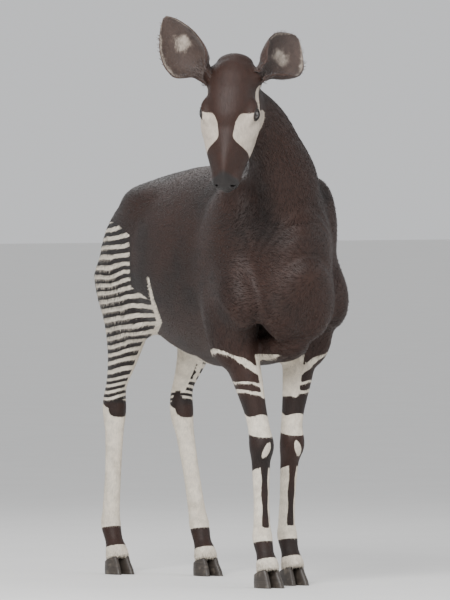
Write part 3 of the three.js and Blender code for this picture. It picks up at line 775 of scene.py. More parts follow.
@dataclass
class Skin:
    """Her skin: one mesh over trunk, neck, head and legs, finer towards the eyes, nostrils and lips."""

    cell: float = 10.5
    flesh: Flesh = field(default_factory=Flesh)
    zones: dict[str, np.ndarray] = field(default_factory=dict)
    density: np.ndarray = field(default_factory=lambda: np.zeros(0))

    def outline(self, points: Points) -> np.ndarray:
        """Returns the distance from the bare skin, cut above the claws, with the swelling of the lids."""
        d = self.flesh.distance(points) + SKIN_DEPTH
        for sign, fore, hind in SIDES.values():
            for foot in (fore, HIND_FEET + hind):
                back = points[:, 1] - foot + CORONET_AHEAD
                low = (points[:, 2] < 200) & (points[:, 0] * sign > 0) & (np.abs(back) < 150)
                floor = CORONET - CORONET_SLOPE * back[low] - points[low, 2]
                d[low] = np.maximum(d[low], floor / 1.056)
        near = points[:, 2] > 1450
        q = to_head(points[near])
        part = d[near]
        for sign in (1, -1):
            lid = np.linalg.norm(q - EyePlace(sign).seat, axis=1) - (EYE_RADIUS + 3.6)
            part = join(part, lid, 9)
        d[near] = part
        return d

    def build(self) -> bpy.types.Object:
        """Builds the skin with its attributes and returns it."""
        low, high = np.array([-560.0, -620, 24]), np.array([330.0, 1230, 1990])
        points, quads = surface_net(self.outline, low, high, self.cell)
        points = settle(self.outline, points)
        made = mesh_of("skin", points, quads.tolist(), placed=False)
        log.info("skin net: %d vertices", len(points))
        self.refine(made, lambda q: q[:, 0] > -300)
        self.refine(made, self.fine_parts)
        self.refine(made, self.finest_parts)
        self.detail(made, self.design_points(made))
        self.attributes(made)
        return made

    def design_points(self, made: bpy.types.Object) -> Points:
        """Returns the mesh's vertices in design millimetres."""
        return PLACE.design(numbers(made.data.vertices, "co", 3))

    def fine_parts(self, q: Points) -> np.ndarray:
        """Returns which points of the head's frame lie by the eyes, the nose or the mouth."""
        eyes = np.min([np.linalg.norm(q - EyePlace(s).seat, axis=1) for s in (1, -1)], axis=0)
        return (eyes < 50) | ((q[:, 0] > 88) & (q[:, 2] < 0))

    def finest_parts(self, q: Points) -> np.ndarray:
        """Returns which points lie on the lids' edges, round the nostrils or on the line of the mouth."""
        nose = np.min([np.linalg.norm(q - self.nostril_seat(s), axis=1) for s in (1, -1)], axis=0)
        lips = self.mouth_distance(q)
        return (np.abs(eye_rims(q)) < 1.1) | (nose < 26) | (lips < 9)

    def refine(self, made: bpy.types.Object, chosen: Callable[[Points], np.ndarray]) -> None:
        """Splits the head's faces that `chosen` picks by their places in the head's frame."""
        centres = PLACE.design(numbers(made.data.polygons, "center", 3))
        pick = (centres[:, 2] > HEAD_FLOOR) & (self.flesh.head_distance(centres) < 14)
        pick[pick] = chosen(to_head(centres[pick]))
        before = len(made.data.vertices)
        sheet = bmesh.new()
        sheet.from_mesh(made.data)
        sheet.faces.ensure_lookup_table()
        edges = {e for i in np.flatnonzero(pick) for e in sheet.faces[i].edges}
        bmesh.ops.subdivide_edges(sheet, edges=list(edges), cuts=1, use_grid_fill=True)
        odd = [f for f in sheet.faces if len(f.verts) > 4]
        bmesh.ops.triangulate(sheet, faces=odd)
        sheet.to_mesh(made.data)
        sheet.free()
        points = self.design_points(made)
        points[before:] = settle(self.outline, points[before:])
        made.data.vertices.foreach_set("co", PLACE.world(points).ravel())
        made.data.update()
        log.info("skin refined to %d vertices", len(points))

    def mouth_path(self) -> Points:
        """Returns the line of the mouth in the head's frame, from its right corner to its left."""
        t = np.linspace(-1, 1, 41)
        turn = np.radians(96) * t
        start = np.column_stack([172 + (104 - 172) * t**2, 0 * t, -68 - 16 * np.abs(t)])
        way = np.column_stack([np.cos(turn), np.sin(turn), 0 * t])
        reach = np.zeros(len(t))
        for _ in range(160):
            inside = self.flesh.head_distance(from_head(start + way * reach[:, None])) < 0
            reach[inside] += 1
        return start + way * reach[:, None]

    def mouth_distance(self, q: Points) -> np.ndarray:
        """Returns how far points of the head's frame lie from the line of the mouth."""
        best = np.full(len(q), 1e9)
        path = self.mouth_path()
        near = (q[:, 0] > 60) & (q[:, 2] < -20)
        for a, b in zip(path[:-1], path[1:]):
            best[near] = np.minimum(best[near], from_line(q[near], a, b))
        return best

    def nostril_seat(self, sign: int) -> Points:
        """Returns the middle of one nostril's opening on the skin, in the head's frame."""
        seat, way = np.array([196.0, sign * 17, -44]), unit(np.array([0.74, sign * 0.34, 0.34]))
        while self.flesh.head_distance(from_head(seat[None]))[0] < 0:
            seat = seat + way
        return seat

    def nostril(self, q: Points, sign: int) -> np.ndarray:
        """Returns the distance from one nostril's opening, a slanting comma, negative inside."""
        turn = turning(Turn.Z, sign * 25) @ turning(Turn.X, sign * -38)
        local = (q - self.nostril_seat(sign)) @ turn
        bent = local - np.array([0.0, 0, 1]) * (local[:, 1:2] ** 2) * 0.022
        return ellipsoid(bent, np.array([14.0, 12.5, 4.6]))

    def detail(self, made: bpy.types.Object, design: Points) -> None:
        """Shapes the lids, nostrils, lips and folds of the head."""
        head = (design[:, 2] > HEAD_FLOOR) & (self.flesh.head_distance(design) < 20)
        q = to_head(design[head])
        normal = unit(slope(self.outline, design[head])) @ HEAD_TURN
        push = np.zeros(len(q))
        lips = self.mouth_distance(q)
        push += -4.6 * swell(lips, 1.9) + 1.6 * swell(lips - 6, 3.2)
        for sign in (1, -1):
            hole = self.nostril(q, sign)
            push += -12 * smooth(1.2, -3.2, hole) + 1.9 * swell(hole - 3.6, 2.6)
        for f, u in ((40, -46), (56, -60), (26, -58)):
            line = np.abs(q[:, 2] - u - 0.25 * (q[:, 0] - f))
            push += -0.7 * swell(line, 2.2) * smooth(34, 10, np.abs(q[:, 0] - f))
        q = q + normal * push[:, None]
        for sign in (1, -1):
            eye = EyePlace(sign)
            v = q - eye.seat
            r = np.linalg.norm(v, axis=1)
            rim = eye.rim(q)
            near = (r < 48) & (rim > -3.5)
            above = (v @ eye.up) > 0
            lid = r + 1.1 * swell(rim + 0.2, 0.2)
            lid -= np.where(above, 1.8, 0.7) * swell(rim + 0.95, 0.22)
            lid -= np.where(above, 0.7, 0.5) * swell(rim + 1.7, 0.2)
            inner = smooth(-0.07, 0.1, rim)
            lid = lid * (1 - inner) + 19.5 * inner
            q[near] = (eye.seat + v / r[:, None] * lid[:, None])[near]
        design = design.copy()
        design[head] = from_head(q)
        made.data.vertices.foreach_set("co", PLACE.world(design).ravel())
        made.data.update()

    def attributes(self, made: bpy.types.Object) -> None:
        """Stores the markings, the lie of the coat, its length and where the skin is bare."""
        design = self.design_points(made)
        for name, values in Markings(self.flesh).read(design).items():
            set_value(made, name, values)
        set_value(made, "lie", self.lie(design))
        x, y, z = design.T
        q = to_head(design)
        head = smooth(26, 2, self.flesh.head_distance(design)) * (z > HEAD_FLOOR)
        nose = smooth(196, 214, q[:, 0] + 0.25 * (q[:, 2] + 40))
        lips = smooth(4, 1.5, self.mouth_distance(q))
        bare = np.max([nose, smooth(-0.9, -0.45, eye_rims(q)), lips], axis=0) * (head > 0)
        set_value(made, "bare", bare)
        leg = smooth(960, 760, z)
        crest = smooth(1500, 1600, z) * smooth(80, -60, y) * (1 - head)
        length = 17 - 9 * leg - 10.5 * head + 4 * crest
        length += 8 * smooth(110, 92, z) + 9 * smooth(120, 40, np.abs(x)) * smooth(960, 880, z) * (1 - leg)
        set_value(made, "coat_length", np.maximum(length, 4.5) / 1000)
        self.density = (19000 + 17000 * leg + 45000 * head) * (1 - bare)
        self.divide(design, head >= 0.5)

    def lie(self, design: Points) -> Points:
        """Returns the way that the hair lies: back along the trunk, down the neck and the legs."""
        lie = np.zeros((len(design), 3))
        parts = [(self.flesh.trunk, 1.0, (0, 0, -0.45)), (self.flesh.neck, -1.0, (0, 0, -0.2))]
        parts += [(leg, 1.0, (0, 0.15, 0)) for leg in self.flesh.forelegs + self.flesh.hindlegs]
        for sweep, way, lean in parts:
            near = sweep.distance(design) < 60
            share = np.exp(-np.maximum(sweep.distance(design[near]), -10) / 14)[:, None]
            lie[near] += share * (way * sweep.direction(design[near]) + np.array(lean))
        near = design[:, 2] > 1400
        share = np.exp(-np.maximum(self.flesh.head_distance(design[near]), -10) / 14)[:, None]
        lie[near] += share * (-HEAD_TURN[:, 0] + 0.1 * HEAD_TURN[:, 2])
        return unit(lie)

    def divide(self, design: Points, head: np.ndarray) -> None:
        """Divides the skin into the zones whose hair becomes a piece of its own."""
        x, y, z = design.T
        neck = (y < 40) & (z > 1330) & ~head
        zones = {
            "shoulders": (y < 330) & (z > 800),
            "flank_left": (y >= 330) & (y < 780) & (x > 0),
            "flank_right": (y >= 330) & (y < 780) & (x <= 0),
            "rump_left": (y >= 780) & (z > 900) & (x > 0),
            "rump_right": (y >= 780) & (z > 900) & (x <= 0),
            "forelegs": (y < 330) & (z <= 800),
            "hindlegs": (y >= 330) & (z <= 900),
        }
        self.zones = {name: zone & ~neck & ~head for name, zone in zones.items()}
        self.zones |= {"neck": neck, "face": head}


@dataclass
class Wiring:
    """A node tree being wired: each call adds one node, sets its values and links its inputs."""

    tree: bpy.types.NodeTree

    def add(
        self, kind: str, inputs: dict[str | int, object] | None = None, **settings: object
    ) -> bpy.types.Node:
        """Adds a node.

        Args:
            kind: the node's type.
            inputs: what goes into its sockets, by name or number: a socket to link or a value.
            settings: the node's own properties.

        Returns:
            The node.
        """
        node = self.tree.nodes.new(kind)
        for name, value in settings.items():
            setattr(node, name, value)
        for key, value in (inputs or {}).items():
            if isinstance(value, bpy.types.NodeSocket):
                self.tree.links.new(value, node.inputs[key])
            else:
                node.inputs[key].default_value = value
        return node

    def math(self, operation: str, *values: object) -> bpy.types.NodeSocket:
        """Returns a sum, product or other result of numbers or sockets."""
        return self.add("ShaderNodeMath", dict(enumerate(values)), operation=operation).outputs[0]

    def value_of(self, name: str) -> bpy.types.NodeSocket:
        """Returns a number stored on the mesh."""
        return self.add("ShaderNodeAttribute", attribute_name=name).outputs["Fac"]

    def step(self, value: bpy.types.NodeSocket, low: float, high: float) -> bpy.types.NodeSocket:
        """Returns a soft step of the value from `low` to `high`."""
        made = self.add("ShaderNodeMapRange", {"Value": value, "From Min": low, "From Max": high},
                        interpolation_type="SMOOTHSTEP")
        return made.outputs["Result"]

    def mix(self, share: object, a: object, b: object) -> bpy.types.NodeSocket:
        """Returns a colour between two colours."""
        made = self.add("ShaderNodeMix", {0: share, 6: a, 7: b}, data_type="RGBA")
        return made.outputs[2]

    def noise(self, where: bpy.types.NodeSocket, scale: float, detail: float = 3.0) -> bpy.types.NodeSocket:
        """Returns a noise from 0 to 1."""
        made = self.add("ShaderNodeTexNoise", {"Vector": where, "Scale": scale, "Detail": detail})
        return made.outputs["Fac"]

    def scaled(self, value: object, factor: float, more: float = 0.0) -> bpy.types.NodeSocket:
        """Returns the value times `factor`, plus `more`."""
        made = self.math("MULTIPLY", value, factor)
        return self.math("ADD", made, more) if more else made

    def off_middle(self, value: object, factor: float) -> bpy.types.NodeSocket:
        """Returns how far a value from 0 to 1 lies from its middle, times `factor`."""
        return self.math("MULTIPLY", self.math("SUBTRACT", value, 0.5), factor)

    def surface(self, shader: bpy.types.Node, colour: object, rough: object, height: object = None,
                strength: float = 0.5, depth: float = 0.002) -> None:
        """Links a material's colour, roughness and, where it has one, its relief of `depth` metres."""
        self.tree.links.new(colour, shader.inputs["Base Color"])
        self.tree.links.new(rough, shader.inputs["Roughness"])
        if height is not None:
            bump = self.add("ShaderNodeBump", {"Height": height, "Strength": strength, "Distance": depth})
            self.tree.links.new(bump.outputs[0], shader.inputs["Normal"])

    def place(self, scale: tuple[float, float, float] = (1, 1, 1), turn: float = 0.0) -> bpy.types.NodeSocket:
        """Returns Object coordinates, stretched and turned about X."""
        where = self.add("ShaderNodeTexCoord").outputs["Object"]
        made = self.add("ShaderNodeMapping", {"Vector": where, "Scale": scale, "Rotation": (turn, 0, 0)})
        return made.outputs[0]


def group(
    name: str, inputs: dict[str, tuple[str, object]], outputs: dict[str, str]
) -> tuple[Wiring, bpy.types.Node]:
    """Starts a shader node group.

    Args:
        name: its name.
        inputs: each input's kind and usual value.
        outputs: each output's kind.

    Returns:
        Its wiring and its input node.
    """
    tree = bpy.data.node_groups.new(name, "ShaderNodeTree")
    for key, (kind, value) in inputs.items():
        tree.interface.new_socket(key, in_out="INPUT", socket_type=kind).default_value = value
    for key, kind in outputs.items():
        tree.interface.new_socket(key, in_out="OUTPUT", socket_type=kind)
    return Wiring(tree), tree.nodes.new("NodeGroupInput")


def pattern_group() -> bpy.types.NodeTree:
    """Returns the group that turns the stored markings into the coat's colour."""
    w, given = group(
        "coat pattern",
        {
            "Brown": ("NodeSocketColor", (0.03, 0.0118, 0.0072, 1)),
            "Black brown": ("NodeSocketColor", (0.0105, 0.0058, 0.0045, 1)),
            "White": ("NodeSocketColor", (0.74, 0.67, 0.56, 1)),
            "Grey white": ("NodeSocketColor", (0.5, 0.435, 0.365, 1)),
            "Ragged": ("NodeSocketFloat", 2.6),
        },
        {"Color": "NodeSocketColor", "Mask": "NodeSocketFloat"},
    )
    here = w.place()
    fray = w.off_middle(w.noise(here, 95, 2), given.outputs["Ragged"])
    drift = w.off_middle(w.noise(here, 9, 1), 0.55)
    phase = w.math("ADD", w.math("ADD", w.value_of("phase"), drift), w.scaled(fray, 0.03))
    wave = w.math("SINE", w.scaled(phase, 2 * math.pi))
    stripe = w.math("MULTIPLY", w.math("SUBTRACT", wave, 0.12), 6.0)
    striped = w.math("MINIMUM", stripe, w.math("ADD", w.value_of("band"), w.scaled(fray, 2.2)))
    pale = w.math("MAXIMUM", striped, w.math("ADD", w.value_of("white"), fray))
    kept = w.math("MINIMUM", pale, w.math("MULTIPLY", w.math("SUBTRACT", w.value_of("dark"), fray), -1.0))
    mask = w.step(kept, -0.9, 0.9)
    worn = w.noise(here, 3.2, 3)
    marked = w.step(w.value_of("band"), -18, 6)
    dark = w.mix(w.math("MAXIMUM", w.step(worn, 0.42, 0.72), marked), given.outputs["Brown"],
                 given.outputs["Black brown"])
    white = w.mix(w.value_of("grey"), given.outputs["White"], given.outputs["Grey white"])
    soiled = w.mix(w.scaled(w.step(w.noise(here, 14, 4), 0.5, 0.8), 0.35), white, (0.38, 0.3, 0.22, 1))
    colour = w.mix(mask, dark, soiled)
    w.add("NodeGroupOutput", {"Color": colour, "Mask": mask})
    return w.tree


def relief_group() -> bpy.types.NodeTree:
    """Returns the group that makes short hair's streaks, along the trunk or down the limbs."""
    w, given = group(
        "fur relief",
        {"Fineness": ("NodeSocketFloat", 1.0)},
        {"Height": "NodeSocketFloat", "Tone": "NodeSocketFloat"},
    )
    trunk = w.noise(w.place((420, 50, 330), 0.42), 1.0, 4)
    limb = w.noise(w.place((460, 460, 55)), 1.0, 4)
    share = w.value_of("limb")
    height = w.add("ShaderNodeMix", {0: share, 2: trunk, 3: limb}).outputs[0]
    clump = w.noise(w.place((60, 14, 40), 0.4), 1.0, 2)
    fine = w.off_middle(height, given.outputs["Fineness"])
    w.add("NodeGroupOutput", {"Height": fine, "Tone": w.math("ADD", w.scaled(fine, 0.8), clump)})
    return w.tree


def new_material(name: str, **surface: object) -> tuple[bpy.types.Material, Wiring, bpy.types.Node]:
    """Returns a new material, its wiring and its Principled BSDF with the given constants set."""
    made = bpy.data.materials.new(name)
    made.use_nodes = True
    w = Wiring(made.node_tree)
    shader = made.node_tree.nodes["Principled BSDF"]
    for key, value in surface.items():
        shader.inputs[key.replace("_", " ")].default_value = value
    return made, w, shader


@dataclass(frozen=True)
class CoatFinish:
    """Short glossy hair over skin, bare and dark at the muzzle and the lids' rims."""

    name: str = "coat_hair"
    tufts: bool = False
    rough: float = 0.56
    muzzle_dark: Colour = (0.008, 0.0066, 0.0062, 1)
    muzzle_pale: Colour = (0.022, 0.0175, 0.016, 1)

    def build(self, pattern: bpy.types.NodeTree, relief: bpy.types.NodeTree) -> bpy.types.Material:
        """Returns the material."""
        made, w, shader = new_material(
            self.name, Specular_IOR_Level=0.36, Sheen_Weight=0.05, Sheen_Roughness=0.35
        )
        paint = w.add("ShaderNodeGroup", node_tree=pattern)
        if self.tufts:
            tone = w.math("ADD", w.value_of("tone"), w.scaled(w.value_of("tip"), 0.35))
        else:
            hair = w.add("ShaderNodeGroup", node_tree=relief)
            tone = w.scaled(hair.outputs["Tone"], 0.9)
        light = w.scaled(tone, 0.75, 0.62)
        grey = w.add("ShaderNodeCombineColor", {0: light, 1: light, 2: light}).outputs[0]
        shaded = w.add("ShaderNodeMix", {0: 1.0, 6: paint.outputs["Color"], 7: grey},
                       data_type="RGBA", blend_type="MULTIPLY")
        colour, rough = shaded.outputs[2], w.scaled(paint.outputs["Mask"], 0.16, self.rough)
        if self.tufts:
            w.surface(shader, colour, rough)
            return made
        bare, pores = w.value_of("bare"), w.noise(w.place(), 520, 2)
        colour = w.mix(bare, colour, w.mix(pores, self.muzzle_dark, self.muzzle_pale))
        rough = w.math("SUBTRACT", rough, w.scaled(bare, 0.12))
        height = w.add("ShaderNodeMix", {0: bare, 2: hair.outputs["Height"], 3: pores}).outputs[0]
        w.surface(shader, colour, rough, height, 0.5, 0.0022)
        return made


@dataclass(frozen=True)
class EarFinish:
    """Dark hair outside, paler thin hair on skin inside, and a painted highlight: a pale blob in the middle
    of the inside.
    """

    name: str = "ear_hair"
    outer: tuple[Colour, Colour] = ((0.014, 0.0085, 0.007, 1), (0.06, 0.028, 0.019, 1))
    skin: tuple[Colour, Colour] = ((0.022, 0.015, 0.013, 1), (0.085, 0.056, 0.045, 1))
    # pale: colours of the pale hair along the inside edges, also used for the painted highlight blob
    pale: tuple[Colour, Colour] = ((0.16, 0.125, 0.1, 1), (0.5, 0.43, 0.36, 1))

    def build(self, relief: bpy.types.NodeTree) -> bpy.types.Material:
        """Returns the material."""
        made, w, shader = new_material(
            self.name, Specular_IOR_Level=0.35, Sheen_Weight=0.2, Sheen_Roughness=0.45
        )
        hair = w.add("ShaderNodeGroup", node_tree=relief)
        streak = w.scaled(hair.outputs["Tone"], 0.8, 0.2)
        outside, skin, pale_hair_and_highlight_colour = (w.mix(streak, *pair) for pair in (self.outer, self.skin, self.pale))
        streaked = w.scaled(w.math("SUBTRACT", streak, 0.6), 0.9)
        # mask of the pale hair fringe and of the painted highlight blob inside the ear, read from the ear's
        # pale attribute
        pale_hair_and_painted_highlight = w.step(w.math("ADD", w.value_of("pale"), streaked), 0.2, 0.75)
        colour = w.mix(w.value_of("inner"), outside, w.mix(pale_hair_and_painted_highlight, skin, pale_hair_and_highlight_colour))
        w.surface(shader, colour, w.scaled(streak, 0.2, 0.5), hair.outputs["Height"], 0.45)
        return made


@dataclass(frozen=True)
class HornFinish:
    """Dark horn with growth rings and scuffs."""

    name: str = "claw_horn"
    horn: tuple[Colour, Colour] = ((0.018, 0.0145, 0.0125, 1), (0.07, 0.056, 0.045, 1))
    scuffed: Colour = (0.15, 0.125, 0.1, 1)

    def build(self) -> bpy.types.Material:
        """Returns the material."""
        made, w, shader = new_material(self.name, Specular_IOR_Level=0.45)
        rings = w.noise(w.place((5, 5, 170)), 1.0, 2)
        grain = w.noise(w.place((260, 260, 30)), 1.0, 3)
        scuff = w.noise(w.place(), 46, 4)
        colour = w.mix(w.scaled(w.step(scuff, 0.52, 0.75), 0.6), w.mix(rings, *self.horn), self.scuffed)
        height = w.math("ADD", w.scaled(rings, 0.8), w.scaled(grain, 0.3))
        w.surface(shader, colour, w.scaled(scuff, 0.3, 0.3), height)
        return made


@dataclass(frozen=True)
class EyeFinish:
    """A wet dark eye: brown iris with fine rays, a level pupil, a dark rim."""

    name: str = "eye_wet"
    iris: tuple[Colour, Colour] = ((0.012, 0.006, 0.0035, 1), (0.062, 0.03, 0.015, 1))
    pupil: Colour = (0.0015, 0.0015, 0.002, 1)
    ring: Colour = (0.03, 0.02, 0.016, 1)

    def build(self) -> bpy.types.Material:
        """Returns the material."""
        made, w, shader = new_material(
            self.name, Coat_Weight=1.0, Coat_Roughness=0.03, Specular_IOR_Level=0.6
        )
        rays = w.noise(w.place(), 900, 3)
        colour = w.mix(w.step(w.value_of("pupil"), -0.1, 0.12), w.mix(rays, *self.iris), self.pupil)
        colour = w.mix(w.step(w.value_of("white"), -0.05, 0.08), colour, self.ring)
        w.surface(shader, colour, w.scaled(rays, 0.08, 0.08))
        return made


def loft(rings: np.ndarray) -> list[list[int]]:
    """Returns the faces between rings of points and over both ends, by index into the flattened rings."""
    count, around = rings.shape[:2]
    faces = []
    for i in range(count - 1):
        for j in range(around):
            k = (j + 1) % around
            faces.append([i * around + j, i * around + k, (i + 1) * around + k, (i + 1) * around + j])
    return faces + [list(range(around))[::-1], [(count - 1) * around + j for j in range(around)]]


def tube(core: Points, wide: np.ndarray, across: Points, other: Points, sides: int) -> np.ndarray:
    """Makes the rings of a tube.

    Args:
        core: its middle line.
        wide: its radius at each point of the line.
        across: one direction of its rings, or one for each.
        other: the direction square to that.
        sides: points in a ring.

    Returns:
        The rings, by points, by three.
    """
    a = np.linspace(0, 2 * np.pi, sides, endpoint=False)[None, :, None]
    turned = np.cos(a) * np.atleast_2d(across)[:, None] + np.sin(a) * np.atleast_2d(other)[:, None]
    return core[:, None] + wide[:, None, None] * turned


@dataclass
class Bundle:
    """Many closed forms that are gathered into one mesh."""

    points: list[Points] = field(default_factory=list)
    faces: list[list[int]] = field(default_factory=list)
    count: int = 0

    def add(self, rings: np.ndarray) -> None:
        """Adds the form between the rings."""
        self.faces += [[self.count + k for k in face] for face in loft(rings)]
        self.points.append(rings.reshape(-1, 3))
        self.count += len(self.points[-1])


def outward(made: bpy.types.Object) -> None:
    """Turns every face of a closed mesh outwards."""
    sheet = bmesh.new()
    sheet.from_mesh(made.data)
    bmesh.ops.remove_doubles(sheet, verts=sheet.verts, dist=1e-6)
    bmesh.ops.recalc_face_normals(sheet, faces=sheet.faces)
    sheet.to_mesh(made.data)
    sheet.free()
    made.data.shade_smooth()


def dress(made: bpy.types.Object, finish: bpy.types.Material, slot: str, *nodes: str) -> bpy.types.Object:
    """Gives a piece its material, lets it ride on the body and hides what it replaces."""
    made.data.materials.clear()
    made.data.materials.append(finish)
    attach(made, "root")
    if nodes:
        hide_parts(*nodes)
    log.info("%s: %d faces", made.name, len(made.data.polygons))
    return made


@dataclass
class Ear:
    """One ear: a long leaf rolled at its root, open in front, held out from the head."""

    side: str
    across: int = 30
    steps: int = 46
    thick: float = 3.0

    def __post_init__(self) -> None:
        """Works out its directions."""
        self.sign = SIDES[self.side][0]
        along, opening = {"right": ((-0.6, 0.16, 0.79), (-0.8, -0.6, 0)),
                          "left": ((0.78, 0.33, 0.53), (0.1, -0.95, 0.3))}[self.side]
        self.root = from_head(EAR_ROOT * (1, self.sign, 1))
        self.way = unit(np.array(along))
        self.face = unit(np.array(opening) - self.way * (self.way @ np.array(opening)))
        self.level = np.cross(self.way, self.face)
        table = np.array([(0, 25, 150), (0.14, 34, 132), (0.27, 70, 104), (0.43, 88, 82),
                          (0.61, 84, 68), (0.78, 62, 56), (0.91, 36, 46), (1, 8, 40)], float)
        self.table = curve(table, np.linspace(0, 1, 120))

    def wall(self, t: np.ndarray, grow: np.ndarray) -> np.ndarray:
        """Returns one wall's points at the shares `t`, `grow` away from the ear's middle sheet."""
        half, arc = (np.interp(t, self.table[:, 0], self.table[:, k]) for k in (1, 2))
        radius = half / np.sin(np.radians(np.minimum(arc, 90)))
        spine = self.root + t[:, None] * EAR_LENGTH * self.way
        spine = spine - self.face * 14 * np.sin(np.pi * t)[:, None]
        spine = spine + self.level * self.sign * 10 * np.sin(np.pi * t)[:, None]
        a = np.radians(arc)[:, None] * np.linspace(-1, 1, self.across + 1)[None, :]
        size = (radius + grow)[:, None]
        ripple = 1.5 * np.sin(9 * a + 14 * t[:, None]) * np.sin(np.pi * t)[:, None] * np.abs(a) ** 2
        back = radius[:, None] - size * np.cos(a) + ripple
        return spine[:, None] + back[..., None] * self.face + (size * np.sin(a))[..., None] * self.level

    def build(self) -> bpy.types.Object:
        """Builds the ear with its masks."""
        t = np.linspace(-0.04, 1, self.steps)
        thin = self.thick * (1 - 0.45 * np.clip(t, 0, 1))
        outer, inner = self.wall(t, thin), self.wall(t, -thin)
        rings = np.concatenate([outer, inner[:, ::-1]], axis=1)
        made = mesh_of("ear_shell_" + self.side, rings.reshape(-1, 3), loft(rings), placed=False)
        share = np.concatenate([np.zeros_like(outer[..., 0]), np.ones_like(inner[..., 0])], axis=1)
        a = np.abs(np.linspace(-1, 1, self.across + 1))
        edge = np.concatenate([a, a[::-1]])[None, :] * np.ones((self.steps, 1))
        up = np.repeat(t[:, None], edge.shape[1], 1)
        set_value(made, "inner", (share * smooth(1.0, 0.94, edge)).ravel())
        # a fringe of real pale hair along the inside edges
        pale = 0.62 * smooth(0.7, 0.97, edge) * smooth(0.05, 0.3, up)
        # painted highlight: a pale blob about 0.58 up the ear, in the middle of the inside
        pale += 0.7 * swell(up - 0.58, 0.13) * swell(edge - 0.1, 0.26)
        set_value(made, "pale", np.clip(pale, 0, 1).ravel())
        set_value(made, "limb", np.ones(edge.size))
        fan = np.linspace(-1, 1, self.across + 1)
        fan = np.concatenate([fan, fan[::-1]])
        lie = self.way + 0.45 * share[..., None] * fan[None, :, None] * self.level
        set_value(made, "lie", lie.reshape(-1, 3))
        fringe = share * smooth(0.72, 0.95, edge) * smooth(1.0, 0.85, up)
        root = smooth(0.34, 0.1, up)
        set_value(made, "coat_length", (0.006 + 0.008 * fringe + 0.003 * share + 0.014 * root).ravel())
        self.growth = (30000 - 6000 * share).ravel()
        outward(made)
        return made

    def hair(self, flap: bpy.types.Object) -> "Coat":
        """Returns the short hair that grows on the ear."""
        whole = np.ones(len(self.growth), bool)
        return Coat(flap, {"ear_" + self.side: whole}, self.growth, width=0.11, lift=0.15)


@dataclass
class Eye:
    """One eyeball with a slightly raised cornea."""

    side: str
    rings: int = 40
    around: int = 64

    def build(self) -> bpy.types.Object:
        """Builds the ball with its masks for pupil and white."""
        eye = EyePlace(SIDES[self.side][0])
        theta = np.linspace(0.004, np.pi - 0.004, self.rings) ** 1.25 / (np.pi - 0.004) ** 0.25
        phi = np.linspace(0, 2 * np.pi, self.around, endpoint=False)
        radius = EYE_RADIUS * (1 + 0.045 * swell(theta, 0.62))
        x = (np.sin(theta) * radius)[:, None] * np.cos(phi)
        y = (np.sin(theta) * radius)[:, None] * np.sin(phi)
        z = (np.cos(theta) * radius)[:, None] * np.ones_like(phi)
        spots = eye.seat + x[..., None] * eye.level + y[..., None] * eye.up + z[..., None] * eye.out
        made = mesh_of("eyeball_" + self.side, from_head(spots.reshape(-1, 3)), loft(spots), placed=False)
        set_value(made, "pupil", (1 - ((x / 8.4) ** 2 + (y / 5.2) ** 2) - 2 * (z < 0)).ravel())
        set_value(made, "white", (np.repeat(theta[:, None], self.around, 1) - 0.86).ravel())
        outward(made)
        return made


@dataclass
class Claw:
    """One claw: a toe that points forward, a steep wall with growth rings and a flat sole."""

    end: str
    side: str
    place: str
    sides: int = 56
    rows: int = 26

    def build(self) -> bpy.types.Object:
        """Builds the claw up to the sloping plane where the hair begins."""
        sign, fore, hind = SIDES[self.side]
        foot, track = (fore, HALF_TRACK_FORE) if self.end == "fore" else (HIND_FEET + hind, HALF_TRACK_HIND)
        inner = -sign if self.place == "inner" else sign
        angle = np.linspace(0, 2 * np.pi, self.sides, endpoint=False)
        toe = np.where(np.sin(angle) < 0, 1 - 0.18 * np.abs(np.sin(angle)), 1.0)

        def wall(v: np.ndarray) -> Points:
            """Returns the wall's points at the heights `v`, one for each angle or row."""
            length = np.interp(v, [0, 0.25, 1.1], [1, 0.97, 0.7])
            back = np.interp(v, [0, 0.25, 1.1], [0, 6, 34])
            width = np.maximum(length, 0.86)
            ring = 0.35 * np.sin(v * 62 + 0.6 * np.sin(angle)) * smooth(0.05, 0.2, v)
            x = sign * track + inner * (HOOF_HALF * width + CLEFT / 2)
            x = x + np.cos(angle) * toe * (HOOF_HALF * width - 0.5 + ring)
            y = foot - HOOF_AHEAD + np.sin(angle) * (HOOF_LENGTH * length / 2 - 0.5 + ring) + back
            return np.stack([x, y, v * HOOF_HEIGHT], axis=-1)

        top = np.full(self.sides, 1.1)
        for _ in range(12):
            edge = CORONET - 1.3 - CORONET_SLOPE * (wall(top)[:, 1] - foot + CORONET_AHEAD)
            top = np.minimum(0.5 * top + 0.5 * edge / HOOF_HEIGHT, 1.1)
        rings = np.stack([wall(top * k) for k in np.linspace(0, 1, self.rows)])
        crown = rings[-1].mean(axis=0)
        inset = crown + (rings[-1] - crown) * 0.9
        rings = np.concatenate([rings, inset[None]])
        name = f"claw_{self.end}_{self.side}_{self.place}"
        made = mesh_of(name, rings.reshape(-1, 3), loft(rings), placed=False)
        outward(made)
        return made


